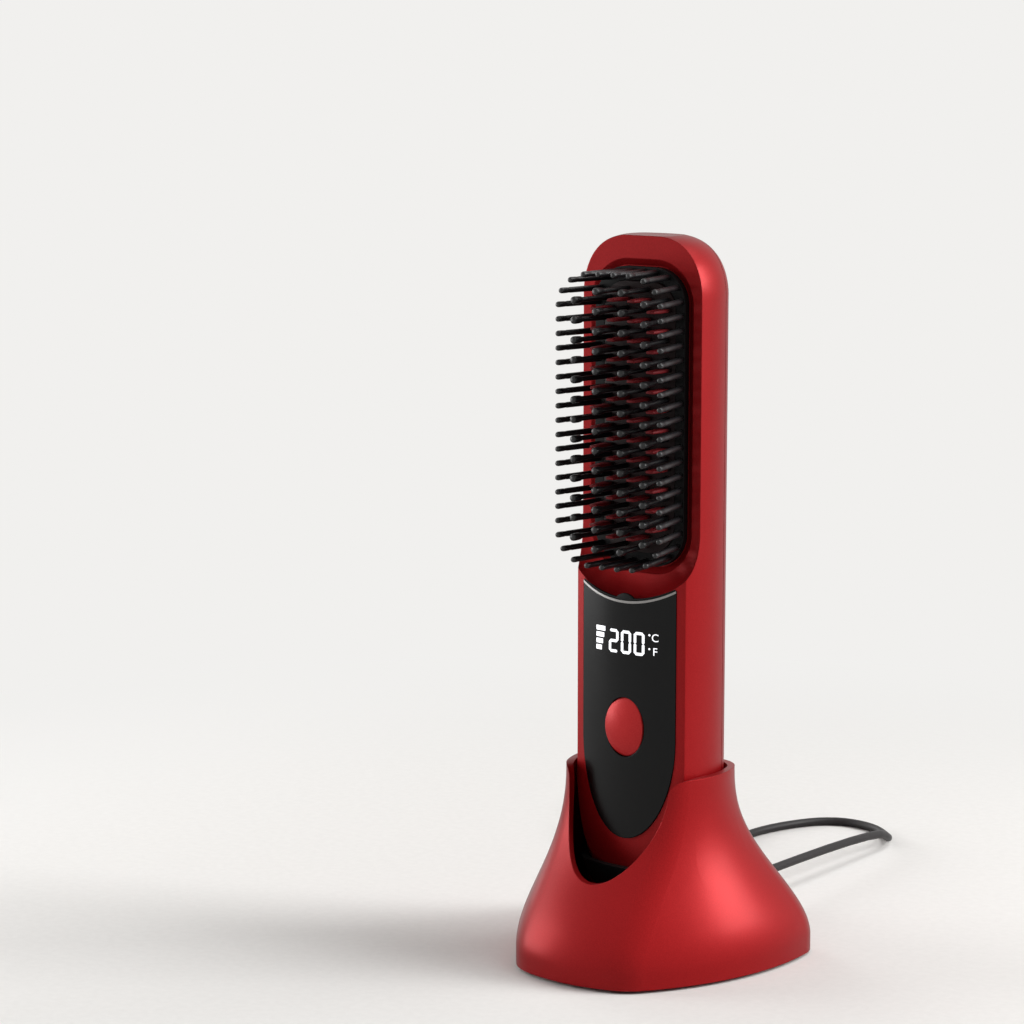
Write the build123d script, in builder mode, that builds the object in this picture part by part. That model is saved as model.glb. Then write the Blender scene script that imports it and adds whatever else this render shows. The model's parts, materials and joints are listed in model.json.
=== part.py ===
"""Cordless hair straightening brush with its charging dock and USB lead.

Frame: millimetres, +Z up, the dock stands on z = 0 with its base centred on the origin.
The front of both, with the panel, the bristles and the dock's notch, faces -Y.
The brush stands in the dock, its bottom connector on the dock's contact plug.
"""
from build123d import *
import math
import os
from dataclasses import dataclass

os.makedirs("parts", exist_ok=True)

# Brush body: overall sizes
HALF_WIDTH = 24.0
FRONT_DEPTH = 19.0
BACK_DEPTH = 17.6
NOSE_LENGTH = 44.0
DOME_LENGTH = 20.0
END_ROUNDNESS = 0.31
END_FLAT = 0.6
END_STEPS = 5
END_STEP_POWER = 1.7
FRONT_CORNER_X_SHARE = 0.82
FRONT_CORNER_Y_SHARE = 0.81
BACK_CORNER_X_SHARE = 0.87
BACK_CORNER_Y_SHARE = 0.77
CORNER_ROUND = 9.0
WIDEST_Y = -1.0
HOUSING_WALL = 2.4
PARTING_Y = 7.5
PARTING_GROOVE = 0.3

# Handle front: the curved plateau and its glossy panel
PLATEAU_CROWN = 15.2
PLATEAU_RADIUS = 76.7
PANEL_CROWN = 16.0
PANEL_RADIUS = 60.5
PANEL_SEAT = 14.2
PANEL_HALF_WIDTH = 18.3
PANEL_BOTTOM = 22.5
PANEL_U_HEIGHT = 34.0
PANEL_TOP = 102.3
PANEL_SAG = 4.7
PANEL_GAP = 0.12
TRIM_WIDTH = 0.8
TRIM_PROUD = 0.15
POINTER_RADIUS = 1.7

# Head: floor, ramp up to the plateau, and the pocket of the comb
HEAD_FLOOR_Y = -6.8
RAMP_RADIUS = 10.5
COMB_BOTTOM = 113.0
COMB_SIDE_RIM = 3.5
COMB_END_RIM = 4.5
COMB_CORNER_RIM = 3.0
COMB_GAP = 0.3
HEAD_TOP_RIM = 10.0
RAMP_SHIFT = 0.5
HEAD_CUT_SHARE = 1.2
POCKET_DEPTH = 1.4
GUTTER = 2.2
LEDGE = 2.0

# Comb frame, bristles and heating plate
FLANGE_PROUD = 1.2
PLATE_SLOT_WIDTH = 28.0
PLATE_SLOT_LENGTH = 89.0
PLATE_SLOT_CORNER = 9.0
PLATE_GAP = 0.15
PLATE_CROWN = 9.4
PLATE_RADIUS = 70.0
PIN_RADIUS = 0.8
PIN_TIP_RADIUS = 0.5
PIN_TIP_LENGTH = 0.9
PIN_SIDES = 6
PIN_TAPER = 0.85
PIN_ROOT = 0.6
OUTER_PIN_LENGTH = 16.0
INNER_PIN_TIP_Y = -24.5
OUTER_PIN_INSET = 1.5
OUTER_PIN_PITCH = 4.75
INNER_PIN_SPACING = 5.6
INNER_COLUMNS = 5
INNER_PIN_PITCH = 6.2
FAN_PER_MM = 0.75
PIN_HOLE_GAP = 0.12
FIN_WIDTH = 3.4
FIN_THICKNESS = 1.3
FIN_HEIGHT = 6.0
FIN_END_MARGIN = 5.0
TRAY_DEPTH = 3.4
TRAY_FLOOR = 1.0

# Parts in the head
CARRIER_THICKNESS = 3.0
SEAT_GAP = 0.1
HEATER_WIDTH = 3.0
HEATER_LENGTH = 62.0
HEATER_THICKNESS = 2.4
SENSOR_LENGTH = 9.0
SENSOR_WIDTH = 6.0
SENSOR_HEIGHT = 2.4

# Parts in the handle
BUTTON_HALF_WIDTH = 7.4
BUTTON_HALF_HEIGHT = 9.8
BUTTON_CENTRE = 60.0
BUTTON_PROUD = 1.3
BUTTON_GAP = 0.2
BUTTON_FLANGE = 1.1
BUTTON_FLANGE_THICKNESS = 1.0
BUTTON_TRAVEL = 0.8
BUTTON_STEM_RADIUS = 2.0
BUTTON_CROWN_RADIUS = 24.0
DISPLAY_CENTRE = 87.5
DISPLAY_WIDTH = 27.0
DISPLAY_HEIGHT = 13.0
DISPLAY_GAP = 0.5
BOARD_Y = -8.2
BOARD_THICKNESS = 1.0
BOARD_WIDTH = 26.0
BOARD_BOTTOM = 44.0
BOARD_TOP = 101.0
BOARD_SCREW_X = 10.0
BOARD_SCREW_INSET = 3.5
BOARD_BOSS_RADIUS = 2.6
SCREW_RADIUS = 1.0
SCREW_HEAD_RADIUS = 2.0
SCREW_HEAD_HEIGHT = 1.2
SCREW_LENGTH = 3.4
SWITCH_SIZE = 6.0
SWITCH_HEIGHT = 2.0
SWITCH_BODY_HEIGHT = 1.4
SWITCH_PIN_RADIUS = 1.8
SWITCH_GAP = 0.05
SCREW_GAP = 0.08
CHARGE_BOARD_BOTTOM = 3.0
CHARGE_BOARD_LENGTH = 12.0
CELL_RADIUS = 9.2
CELL_LENGTH = 65.0
CELL_BOTTOM = 31.0
CELL_SPACING = 18.9
CELL_Y = 2.9
CELL_CAP_RADIUS = 3.2
CELL_CAP_HEIGHT = 0.9
HOLDER_WALL = 1.2
HOLDER_GAP = 0.15

# USB-C connector sizes shared by both sockets and both plugs
SOCKET_WIDTH = 8.34
SOCKET_HEIGHT = 2.56
SOCKET_WALL = 0.3
SOCKET_DEPTH = 7.35
SOCKET_FLOOR = 0.8
PLUG_WIDTH = 8.25
PLUG_HEIGHT = 2.40
PLUG_REACH = 6.2
SOCKET_HOLE_GAP = 0.1

# Dock
DOCK_HEIGHT = 65.0
BASE_FRONT = 49.5
BASE_BACK = 44.0
BASE_FRONT_CORNER = (22.0, 45.0)
BASE_SIDE = (41.5, -12.0)
BASE_BACK_CORNER = (44.5, 34.0)
BASE_FRONT_ROUND = 18.0
BASE_BACK_ROUND = 13.0
DOCK_WALL = 2.4
DOCK_BAND = 6.0
DOCK_FLARE = 1.3
DOCK_FLARE_STEPS = 8
DOCK_LIFT = 1.0
SEAT_HEIGHT = 20.0
SEAT_CLEARANCE = 0.35
RIM_CLEARANCE = 1.2
NOTCH_HALF_WIDTH = 20.0
NOTCH_DEPTH = 34.0
NOTCH_CORNER = 5.0
CRADLE_WALL = 1.8
CRADLE_TOP = 33.0
PEDESTAL_RADIUS = 15.0
BASE_PLATE_THICKNESS = 2.5
BASE_PLATE_GAP = 0.25
BASE_PLATE_BOTTOM = 1.6
FOOT_RADIUS = 6.0
FOOT_RECESS = 0.6
FOOT_SPREAD_X = 26.0
FOOT_SPREAD_Y = 24.0
BALLAST_THICKNESS = 4.0
BALLAST_OUTER_RADIUS = 27.0
BALLAST_HOLE_RADIUS = 17.0
DOCK_SCREW_X = 30.0
DOCK_SCREW_Y = 12.0
DOCK_BOSS_RADIUS = 3.2
DOCK_SCREW_RADIUS = 1.3
DOCK_SCREW_LENGTH = 9.0
DOCK_SCREW_HEAD_RADIUS = 2.6
DOCK_SCREW_HEAD_HEIGHT = 1.2
DOCK_POST_X = 6.5
DOCK_POST_RADIUS = 2.0
DOCK_BOARD_WIDTH = 19.0
DOCK_BOARD_LENGTH = 17.0
NUB_X = 11.0
NUB_RADIUS = 1.0
NUB_DROP = 2.0
NUB_LENGTH = 4.0
CONTACT_BLOCK_WIDTH = 14.0
CONTACT_BLOCK_DEPTH = 9.0
CONTACT_BLOCK_HEIGHT = 6.0
CONTACT_BOARD_THICKNESS = 1.2
CONTACT_BOARD_MARGIN = 2.0

# Lead: plugs, strain relief, cable and its coil
PORT_HEIGHT = 11.5
PORT_HOLE_WIDTH = 13.0
PORT_HOLE_HEIGHT = 7.6
GRIP_WIDTH = 12.0
GRIP_HEIGHT = 6.6
GRIP_LENGTH = 21.0
GRIP_ROUND = 1.4
RELIEF_RADIUS = 2.6
RELIEF_LENGTH = 6.0
RELIEF_TAPER = 0.75
GRIP_GAP = 0.15
CABLE_FLOOR_GAP = 0.05
COIL_SAMPLES = 420
CABLE_JOIN = 0.05
CABLE_DIAMETER = 3.1
CABLE_ARC_SHARE = 0.45
COIL_TURN_GAP = 1.1
COIL_MIDDLE_DIAMETERS = 11.0
COIL_TURNS_A_LAYER = 3
COIL_X = -76.0
COIL_Y = 132.0
USB_A_WIDTH = 12.0
USB_A_HEIGHT = 4.5
USB_A_LENGTH = 14.0
USB_A_GRIP_WIDTH = 15.6
USB_A_GRIP_HEIGHT = 7.8
USB_A_GRIP_LENGTH = 24.0
USB_A_CLEARANCE = 1.5

# Other clearances
CUT_OVER = 1.0

# Derived sizes: the comb's rim goes round the plate's slot, and the head's rim goes over the comb
COMB_WIDTH = PLATE_SLOT_WIDTH + 2.0 * COMB_SIDE_RIM
COMB_LENGTH = PLATE_SLOT_LENGTH + 2.0 * COMB_END_RIM
COMB_CORNER = PLATE_SLOT_CORNER + COMB_CORNER_RIM
BRUSH_LENGTH = COMB_BOTTOM + COMB_LENGTH + HEAD_TOP_RIM

# Derived places
DOCK_AXIS_Y = (BASE_FRONT - BASE_BACK) / 2.0
TIP_Z = SEAT_HEIGHT
TOP_Z = TIP_Z + BRUSH_LENGTH
FAR = 4.0 * HALF_WIDTH
COMB_MIDDLE_Z = TIP_Z + COMB_BOTTOM + COMB_LENGTH / 2.0
FLANGE_BACK_Y = HEAD_FLOOR_Y + POCKET_DEPTH
FLANGE_FRONT_Y = HEAD_FLOOR_Y - FLANGE_PROUD
BOARD_FRONT_Y = BOARD_Y - BOARD_THICKNESS


@dataclass(frozen=True)
class Outline:
    """Plan of a housing: four arcs through these points, joined by round corners."""

    front: float
    front_corner_x: float
    front_corner_y: float
    side_x: float
    side_y: float
    back_corner_x: float
    back_corner_y: float
    back: float
    front_round: float
    back_round: float

    def values(self):
        return [getattr(self, name) for name in self.__dataclass_fields__]

    def scaled(self, share):
        return Outline(*[value * share for value in self.values()])

    def mixed(self, other, share):
        pairs = zip(self.values(), other.values())
        return Outline(*[a + (b - a) * share for a, b in pairs])

    def grown(self, distance):
        """The same outline, this far outside (or inside, where it is negative)."""
        corner = distance * math.sqrt(0.5)
        return Outline(
            self.front + distance,
            self.front_corner_x + corner,
            self.front_corner_y + corner,
            self.side_x + distance,
            self.side_y,
            self.back_corner_x + corner,
            self.back_corner_y + corner,
            self.back + distance,
            max(self.front_round + distance * 0.5, 0.5),
            max(self.back_round + distance * 0.5, 0.5),
        )


BRUSH_OUTLINE = Outline(
    front=FRONT_DEPTH,
    front_corner_x=HALF_WIDTH * FRONT_CORNER_X_SHARE,
    front_corner_y=FRONT_DEPTH * FRONT_CORNER_Y_SHARE,
    side_x=HALF_WIDTH,
    side_y=WIDEST_Y,
    back_corner_x=HALF_WIDTH * BACK_CORNER_X_SHARE,
    back_corner_y=BACK_DEPTH * BACK_CORNER_Y_SHARE,
    back=BACK_DEPTH,
    front_round=CORNER_ROUND,
    back_round=CORNER_ROUND,
)
RIM_OUTLINE = BRUSH_OUTLINE.grown(RIM_CLEARANCE + DOCK_WALL)
BASE_OUTLINE = Outline(
    front=BASE_FRONT,
    front_corner_x=BASE_FRONT_CORNER[0],
    front_corner_y=BASE_FRONT_CORNER[1],
    side_x=BASE_SIDE[0],
    side_y=BASE_SIDE[1],
    back_corner_x=BASE_BACK_CORNER[0],
    back_corner_y=BASE_BACK_CORNER[1],
    back=BASE_BACK,
    front_round=BASE_FRONT_ROUND,
    back_round=BASE_BACK_ROUND,
)


def outline_sketch(outline, centre_y, z):
    """Face of an outline at a height, with its front towards -Y."""
    front_y = centre_y - outline.front_corner_y
    back_y = centre_y + outline.back_corner_y
    with BuildSketch(Plane.XY.offset(z)) as sketch:
        with BuildLine():
            ThreePointArc(
                (-outline.front_corner_x, front_y),
                (0, centre_y - outline.front),
                (outline.front_corner_x, front_y),
            )
            ThreePointArc(
                (outline.front_corner_x, front_y),
                (outline.side_x, centre_y + outline.side_y),
                (outline.back_corner_x, back_y),
            )
            ThreePointArc(
                (outline.back_corner_x, back_y),
                (0, centre_y + outline.back),
                (-outline.back_corner_x, back_y),
            )
            ThreePointArc(
                (-outline.back_corner_x, back_y),
                (-outline.side_x, centre_y + outline.side_y),
                (-outline.front_corner_x, front_y),
            )
        make_face()
        corners = sketch.vertices().group_by(Axis.Y)
        fillet(corners[0], outline.front_round)
        corners = [v for v in sketch.vertices() if abs(v.Y - back_y) < 1e-6]
        fillet(corners, outline.back_round)
    return sketch.sketch


def end_share(distance, length):
    """Share of the full section at a distance from a rounded end of the brush."""
    reach = min(distance + END_FLAT, length) / length
    return (1.0 - (1.0 - reach) ** 2) ** END_ROUNDNESS


def brush_form(growth):
    """Closed form of the brush before its front is cut, grown all round."""
    low = TIP_Z - growth
    high = TOP_Z + growth
    steps = [(index / END_STEPS) ** END_STEP_POWER for index in range(END_STEPS + 1)]
    ends = []
    for length, start, way in ((NOSE_LENGTH, low, 1.0), (DOME_LENGTH, high, -1.0)):
        with BuildPart() as end:
            for step in steps:
                share = end_share(step * length, length)
                outline = BRUSH_OUTLINE.scaled(share).grown(growth)
                add(outline_sketch(outline, DOCK_AXIS_Y, start + way * step * length))
            loft()
        ends.append(end.part)
    with BuildPart() as form:
        add(outline_sketch(BRUSH_OUTLINE.grown(growth), DOCK_AXIS_Y, low + NOSE_LENGTH))
        extrude(amount=high - low - NOSE_LENGTH - DOME_LENGTH)
        add(ends)
    return form.part


def behind_curve(crown, radius):
    """Everything behind an upright curved face whose crown is this far in front."""
    with BuildPart() as region:
        with BuildSketch():
            with Locations((0, DOCK_AXIS_Y - crown + radius)):
                Circle(radius)
        extrude(amount=TOP_Z + FAR)
    return region.part


def panel_sketch(margin):
    """Outline of the panel, width along X and height along Y, grown by a margin."""
    half = PANEL_HALF_WIDTH + margin
    straight_z = TIP_Z + PANEL_BOTTOM + PANEL_U_HEIGHT
    corner_z = TIP_Z + PANEL_TOP + PANEL_SAG + margin
    with BuildSketch() as sketch:
        with BuildLine():
            ThreePointArc((-half, corner_z), (0, TIP_Z + PANEL_TOP + margin), (half, corner_z))
            Line((half, corner_z), (half, straight_z))
            EllipticalCenterArc(
                (0, straight_z), half, PANEL_U_HEIGHT + margin, start_angle=180, arc_size=180
            )
            Line((-half, straight_z), (-half, corner_z))
        make_face()
    return sketch.sketch


def head_cutter(depth):
    """Space in front of the head, whose round lower end makes the ramp."""
    arc_radius = (PANEL_HALF_WIDTH**2 + PANEL_SAG**2) / (2 * PANEL_SAG)
    arc_bottom = TIP_Z + PANEL_TOP - depth * RAMP_SHIFT
    floor = DOCK_AXIS_Y + HEAD_FLOOR_Y + depth
    side = HALF_WIDTH * HEAD_CUT_SHARE
    side_z = arc_bottom + arc_radius - math.sqrt(arc_radius**2 - side**2)
    with BuildPart() as cutter:
        with BuildSketch(Plane.XZ.offset(-floor)):
            with BuildLine():
                ThreePointArc((-side, side_z), (0, arc_bottom), (side, side_z))
                Line((side, side_z), (side, TOP_Z + HALF_WIDTH))
                Line((side, TOP_Z + HALF_WIDTH), (-side, TOP_Z + HALF_WIDTH))
                Line((-side, TOP_Z + HALF_WIDTH), (-side, side_z))
            make_face()
        extrude(amount=2 * FRONT_DEPTH)
        floor_face = cutter.faces().sort_by(Axis.Y)[-1]
        fillet(floor_face.edges().sort_by(Axis.Z)[0], RAMP_RADIUS)
    return cutter.part


def window_block(width, length, corner, front_y, back_y):
    """Upright rounded block of the comb's family, between two depths."""
    with BuildPart() as block:
        with BuildSketch(Plane.XZ.offset(-(DOCK_AXIS_Y + back_y))):
            with Locations((0, COMB_MIDDLE_Z)):
                RectangleRounded(width, length, corner)
        extrude(amount=back_y - front_y)
    return block.part


def slot_block(plane, width, height, length):
    """Round-ended bar of a connector, from a plane along its normal."""
    with BuildPart() as bar:
        with BuildSketch(plane):
            SlotOverall(width, height)
        extrude(amount=length)
    return bar.part


def connector_socket(plane):
    """Metal shell of a USB-C socket, open at the plane and closed behind."""
    outer_width = SOCKET_WIDTH + 2 * SOCKET_WALL
    outer = slot_block(plane, outer_width, SOCKET_HEIGHT + 2 * SOCKET_WALL, SOCKET_DEPTH)
    mouth = slot_block(plane, SOCKET_WIDTH, SOCKET_HEIGHT, SOCKET_DEPTH - SOCKET_FLOOR)
    with BuildPart() as socket:
        add(outer)
        add(mouth, mode=Mode.SUBTRACT)
    return socket.part


# Housing: outer form, plateau, head and cavity
outer_form = brush_form(0.0)
inner_form = brush_form(-HOUSING_WALL)
plateau = behind_curve(PLATEAU_CROWN, PLATEAU_RADIUS)
inner_plateau = behind_curve(PLATEAU_CROWN - HOUSING_WALL, PLATEAU_RADIUS)
head_space = head_cutter(0.0)
inner_head_space = head_cutter(HOUSING_WALL)

with BuildPart() as cavity:
    add(inner_form)
    add(inner_plateau, mode=Mode.INTERSECT)
    add(inner_head_space, mode=Mode.SUBTRACT)

with BuildPart() as shell:
    add(outer_form)
    add(plateau, mode=Mode.INTERSECT)
    add(head_space, mode=Mode.SUBTRACT)
    add(cavity.part, mode=Mode.SUBTRACT)

socket_plane = Plane((0, DOCK_AXIS_Y, TIP_Z))
socket_hole = slot_block(
    socket_plane,
    SOCKET_WIDTH + 2 * (SOCKET_WALL + SOCKET_HOLE_GAP),
    SOCKET_HEIGHT + 2 * (SOCKET_WALL + SOCKET_HOLE_GAP),
    SOCKET_DEPTH,
)
pocket_face = panel_sketch(PANEL_GAP)
with BuildPart() as panel_pocket:
    with BuildSketch(Plane.XZ):
        add(pocket_face)
    extrude(amount=FRONT_DEPTH * 2)
    add(behind_curve(PANEL_SEAT, PLATEAU_RADIUS), mode=Mode.SUBTRACT)

button_centre = (0, DOCK_AXIS_Y + BOARD_FRONT_Y, TIP_Z + BUTTON_CENTRE)
button_plane = Plane(origin=button_centre, x_dir=(1, 0, 0), z_dir=(0, -1, 0))
with BuildPart() as button_well:
    with BuildSketch(button_plane):
        Ellipse(
            BUTTON_HALF_WIDTH + BUTTON_FLANGE + BUTTON_GAP,
            BUTTON_HALF_HEIGHT + BUTTON_FLANGE + BUTTON_GAP,
        )
    extrude(amount=FRONT_DEPTH)
with BuildPart() as display_window:
    with Locations((0, DOCK_AXIS_Y - FRONT_DEPTH, TIP_Z + DISPLAY_CENTRE)):
        Box(DISPLAY_WIDTH + 2 * DISPLAY_GAP, FRONT_DEPTH, DISPLAY_HEIGHT + 2 * DISPLAY_GAP)

window = window_block(
    COMB_WIDTH - 2 * LEDGE,
    COMB_LENGTH - 2 * LEDGE,
    COMB_CORNER - LEDGE,
    HEAD_FLOOR_Y - CUT_OVER,
    HEAD_FLOOR_Y + HOUSING_WALL + CUT_OVER,
)

gutter_angle = math.degrees(math.atan(GUTTER / POCKET_DEPTH))
gutter_margin = COMB_GAP + GUTTER
gutter_size = (COMB_WIDTH + 2 * gutter_margin, COMB_LENGTH + 2 * gutter_margin, COMB_CORNER + gutter_margin)
with BuildPart() as gutter:
    with BuildSketch(Plane.XZ.offset(-(DOCK_AXIS_Y + HEAD_FLOOR_Y))):
        with Locations((0, COMB_MIDDLE_Z)):
            RectangleRounded(*gutter_size)
    extrude(amount=-POCKET_DEPTH, taper=gutter_angle)
    add(window_block(*gutter_size, FLANGE_FRONT_Y - CUT_OVER, HEAD_FLOOR_Y))

board_screw_places = [
    (x, TIP_Z + z)
    for x in (-BOARD_SCREW_X, BOARD_SCREW_X)
    for z in (BOARD_BOTTOM + BOARD_SCREW_INSET, BOARD_TOP - BOARD_SCREW_INSET)
]
with BuildPart() as board_bosses:
    with BuildSketch(Plane.XZ.offset(-(DOCK_AXIS_Y + BOARD_FRONT_Y))):
        with Locations(*board_screw_places):
            Circle(BOARD_BOSS_RADIUS)
            Circle(SCREW_RADIUS + SCREW_GAP, mode=Mode.SUBTRACT)
    extrude(amount=PLATEAU_CROWN - HOUSING_WALL + BOARD_FRONT_Y)

with BuildPart() as front_housing:
    add(shell.part)
    add(board_bosses.part)
    split(bisect_by=Plane.XZ.offset(-(DOCK_AXIS_Y + PARTING_Y - PARTING_GROOVE / 2)), keep=Keep.TOP)
    add(panel_pocket.part, mode=Mode.SUBTRACT)
    add(button_well.part, mode=Mode.SUBTRACT)
    add(display_window.part, mode=Mode.SUBTRACT)
    add(socket_hole, mode=Mode.SUBTRACT)
    add(gutter.part, mode=Mode.SUBTRACT)
    add(window, mode=Mode.SUBTRACT)
    with BuildSketch(Plane.XZ.offset(-(DOCK_AXIS_Y - PANEL_SEAT))):
        with Locations((0, TIP_Z + PANEL_TOP)):
            Circle(POINTER_RADIUS)
    extrude(amount=FRONT_DEPTH - PANEL_SEAT, mode=Mode.SUBTRACT)
front_housing.part.label = "front_housing"
export_step(front_housing.part, "parts/front_housing.step")

with BuildPart() as back_cover:
    add(shell.part)
    split(bisect_by=Plane.XZ.offset(-(DOCK_AXIS_Y + PARTING_Y + PARTING_GROOVE / 2)), keep=Keep.BOTTOM)
back_cover.part.label = "back_cover"
export_step(back_cover.part, "parts/back_cover.step")

# Control panel, the bright trim along its top edge, and the display behind it
panel_face = panel_sketch(0.0)
lowered_face = panel_face.moved(Location((0, -TRIM_WIDTH, 0)))
panel_front = behind_curve(PANEL_CROWN, PANEL_RADIUS)
trim_front = behind_curve(PANEL_CROWN + TRIM_PROUD, PANEL_RADIUS)
panel_back = behind_curve(PANEL_SEAT + SEAT_GAP, PLATEAU_RADIUS)

with BuildPart() as control_panel:
    with BuildSketch(Plane.XZ):
        add(panel_face)
        add(lowered_face, mode=Mode.INTERSECT)
    extrude(amount=2 * FRONT_DEPTH)
    add(panel_front, mode=Mode.INTERSECT)
    add(panel_back, mode=Mode.SUBTRACT)
    with BuildSketch(button_plane):
        Ellipse(BUTTON_HALF_WIDTH + BUTTON_GAP, BUTTON_HALF_HEIGHT + BUTTON_GAP)
    extrude(amount=FRONT_DEPTH, mode=Mode.SUBTRACT)
control_panel.part.label = "control_panel"
export_step(control_panel.part, "parts/control_panel.step")

with BuildPart() as panel_trim:
    with BuildSketch(Plane.XZ):
        add(panel_face)
        add(lowered_face, mode=Mode.SUBTRACT)
    extrude(amount=2 * FRONT_DEPTH)
    add(trim_front, mode=Mode.INTERSECT)
    add(panel_back, mode=Mode.SUBTRACT)
panel_trim.part.label = "panel_trim"
export_step(panel_trim.part, "parts/panel_trim.step")

display_sag = PLATEAU_RADIUS - math.sqrt(PLATEAU_RADIUS**2 - (DISPLAY_WIDTH / 2) ** 2)
display_front = PANEL_SEAT - display_sag
with BuildPart() as display_module:
    with BuildSketch(Plane.XZ.offset(-(DOCK_AXIS_Y + BOARD_FRONT_Y))):
        with Locations((0, TIP_Z + DISPLAY_CENTRE)):
            Rectangle(DISPLAY_WIDTH, DISPLAY_HEIGHT)
    extrude(amount=display_front + BOARD_FRONT_Y)
display_module.part.label = "display_module"
export_step(display_module.part, "parts/display_module.step")

# Power button: domed cap, flange that holds it behind the panel, and stem
flange_x = BUTTON_HALF_WIDTH + BUTTON_FLANGE
flange_front = PANEL_SEAT - flange_x**2 / (2 * PLATEAU_RADIUS) - SEAT_GAP
stem_reach = -BOARD_FRONT_Y + SWITCH_HEIGHT + BUTTON_TRAVEL + SWITCH_GAP
cap_front = PANEL_CROWN + BUTTON_PROUD
with BuildPart() as power_button:
    with BuildSketch(button_plane.offset(flange_front - BUTTON_FLANGE_THICKNESS + BOARD_FRONT_Y)):
        Ellipse(flange_x, BUTTON_HALF_HEIGHT + BUTTON_FLANGE)
    extrude(amount=BUTTON_FLANGE_THICKNESS)
    with BuildSketch(button_plane.offset(flange_front - BUTTON_FLANGE_THICKNESS + BOARD_FRONT_Y)):
        Ellipse(BUTTON_HALF_WIDTH, BUTTON_HALF_HEIGHT)
    extrude(amount=cap_front - flange_front + BUTTON_FLANGE_THICKNESS)
    with BuildSketch(button_plane.offset(stem_reach + BOARD_FRONT_Y)):
        Circle(BUTTON_STEM_RADIUS)
    extrude(amount=flange_front - BUTTON_FLANGE_THICKNESS - stem_reach)
    with Locations((0, DOCK_AXIS_Y - cap_front + BUTTON_CROWN_RADIUS, TIP_Z + BUTTON_CENTRE)):
        Sphere(BUTTON_CROWN_RADIUS, mode=Mode.INTERSECT)
power_button.part.label = "power_button"
export_step(power_button.part, "parts/power_button.step")

# Main board with its switch, held to the front housing by four screws
with BuildPart() as main_board:
    with BuildSketch(Plane.XZ.offset(-(DOCK_AXIS_Y + BOARD_Y))):
        with Locations((0, TIP_Z + (BOARD_BOTTOM + BOARD_TOP) / 2)):
            Rectangle(BOARD_WIDTH, BOARD_TOP - BOARD_BOTTOM)
        with Locations(*board_screw_places):
            Circle(SCREW_RADIUS + SCREW_GAP, mode=Mode.SUBTRACT)
    extrude(amount=BOARD_THICKNESS - SWITCH_GAP)
main_board.part.label = "main_board"
export_step(main_board.part, "parts/main_board.step")

with BuildPart() as board_screws:
    with BuildSketch(Plane.XZ.offset(-(DOCK_AXIS_Y + BOARD_Y))):
        with Locations(*board_screw_places):
            Circle(SCREW_RADIUS)
    extrude(amount=SCREW_LENGTH)
    with BuildSketch(Plane.XZ.offset(-(DOCK_AXIS_Y + BOARD_Y))):
        with Locations(*board_screw_places):
            Circle(SCREW_HEAD_RADIUS)
    extrude(amount=-SCREW_HEAD_HEIGHT)
board_screws.part.label = "board_screws"
export_step(board_screws.part, "parts/board_screws.step")

with BuildPart() as tact_switch:
    with BuildSketch(button_plane):
        Rectangle(SWITCH_SIZE, SWITCH_SIZE)
    extrude(amount=SWITCH_BODY_HEIGHT)
    with BuildSketch(button_plane):
        Circle(SWITCH_PIN_RADIUS)
    extrude(amount=SWITCH_HEIGHT)
tact_switch.part.label = "tact_switch"
export_step(tact_switch.part, "parts/tact_switch.step")

# Battery cells side by side in their holder
clear_form = brush_form(-HOUSING_WALL - HOLDER_GAP)
cell_places = [(x, DOCK_AXIS_Y + CELL_Y) for x in (-CELL_SPACING / 2, CELL_SPACING / 2)]
with BuildPart() as battery_cells:
    with BuildSketch(Plane.XY.offset(TIP_Z + CELL_BOTTOM)):
        with Locations(*cell_places):
            Circle(CELL_RADIUS)
    extrude(amount=CELL_LENGTH - CELL_CAP_HEIGHT)
    with BuildSketch(Plane.XY.offset(TIP_Z + CELL_BOTTOM + CELL_LENGTH - CELL_CAP_HEIGHT)):
        with Locations(*cell_places):
            Circle(CELL_CAP_RADIUS)
    extrude(amount=CELL_CAP_HEIGHT)
battery_cells.part.label = "battery_cells"
export_step(battery_cells.part, "parts/battery_cells.step")

holder_low = TIP_Z + CELL_BOTTOM - HOLDER_WALL - HOLDER_GAP
holder_length = CELL_LENGTH + 2 * (HOLDER_WALL + HOLDER_GAP)
with BuildPart() as battery_holder:
    with BuildSketch(Plane.XY.offset(holder_low)):
        with Locations((0, DOCK_AXIS_Y + CELL_Y + CELL_RADIUS / 2)):
            Rectangle(2 * CELL_SPACING, CELL_RADIUS + 3 * HOLDER_WALL)
    extrude(amount=holder_length)
    with BuildSketch(Plane.XY.offset(TIP_Z + CELL_BOTTOM - HOLDER_GAP)):
        with Locations(*cell_places):
            Circle(CELL_RADIUS + HOLDER_GAP)
    extrude(amount=CELL_LENGTH + 2 * HOLDER_GAP, mode=Mode.SUBTRACT)
    add(clear_form, mode=Mode.INTERSECT)
battery_holder.part.label = "battery_holder"
export_step(battery_holder.part, "parts/battery_holder.step")

# Connector at the handle's lower end and the small board behind it
brush_usb_socket = connector_socket(socket_plane)
brush_usb_socket.label = "brush_usb_socket"
export_step(brush_usb_socket, "parts/brush_usb_socket.step")
charge_board_y = DOCK_AXIS_Y + SOCKET_HEIGHT / 2 + SOCKET_WALL + CONTACT_BOARD_THICKNESS / 2 + SWITCH_GAP
with BuildPart() as charge_board:
    with Locations((0, charge_board_y, TIP_Z + CHARGE_BOARD_BOTTOM + CHARGE_BOARD_LENGTH / 2)):
        Box(CONTACT_BLOCK_WIDTH, CONTACT_BOARD_THICKNESS, CHARGE_BOARD_LENGTH)
charge_board.part.label = "charge_board"
export_step(charge_board.part, "parts/charge_board.step")


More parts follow.
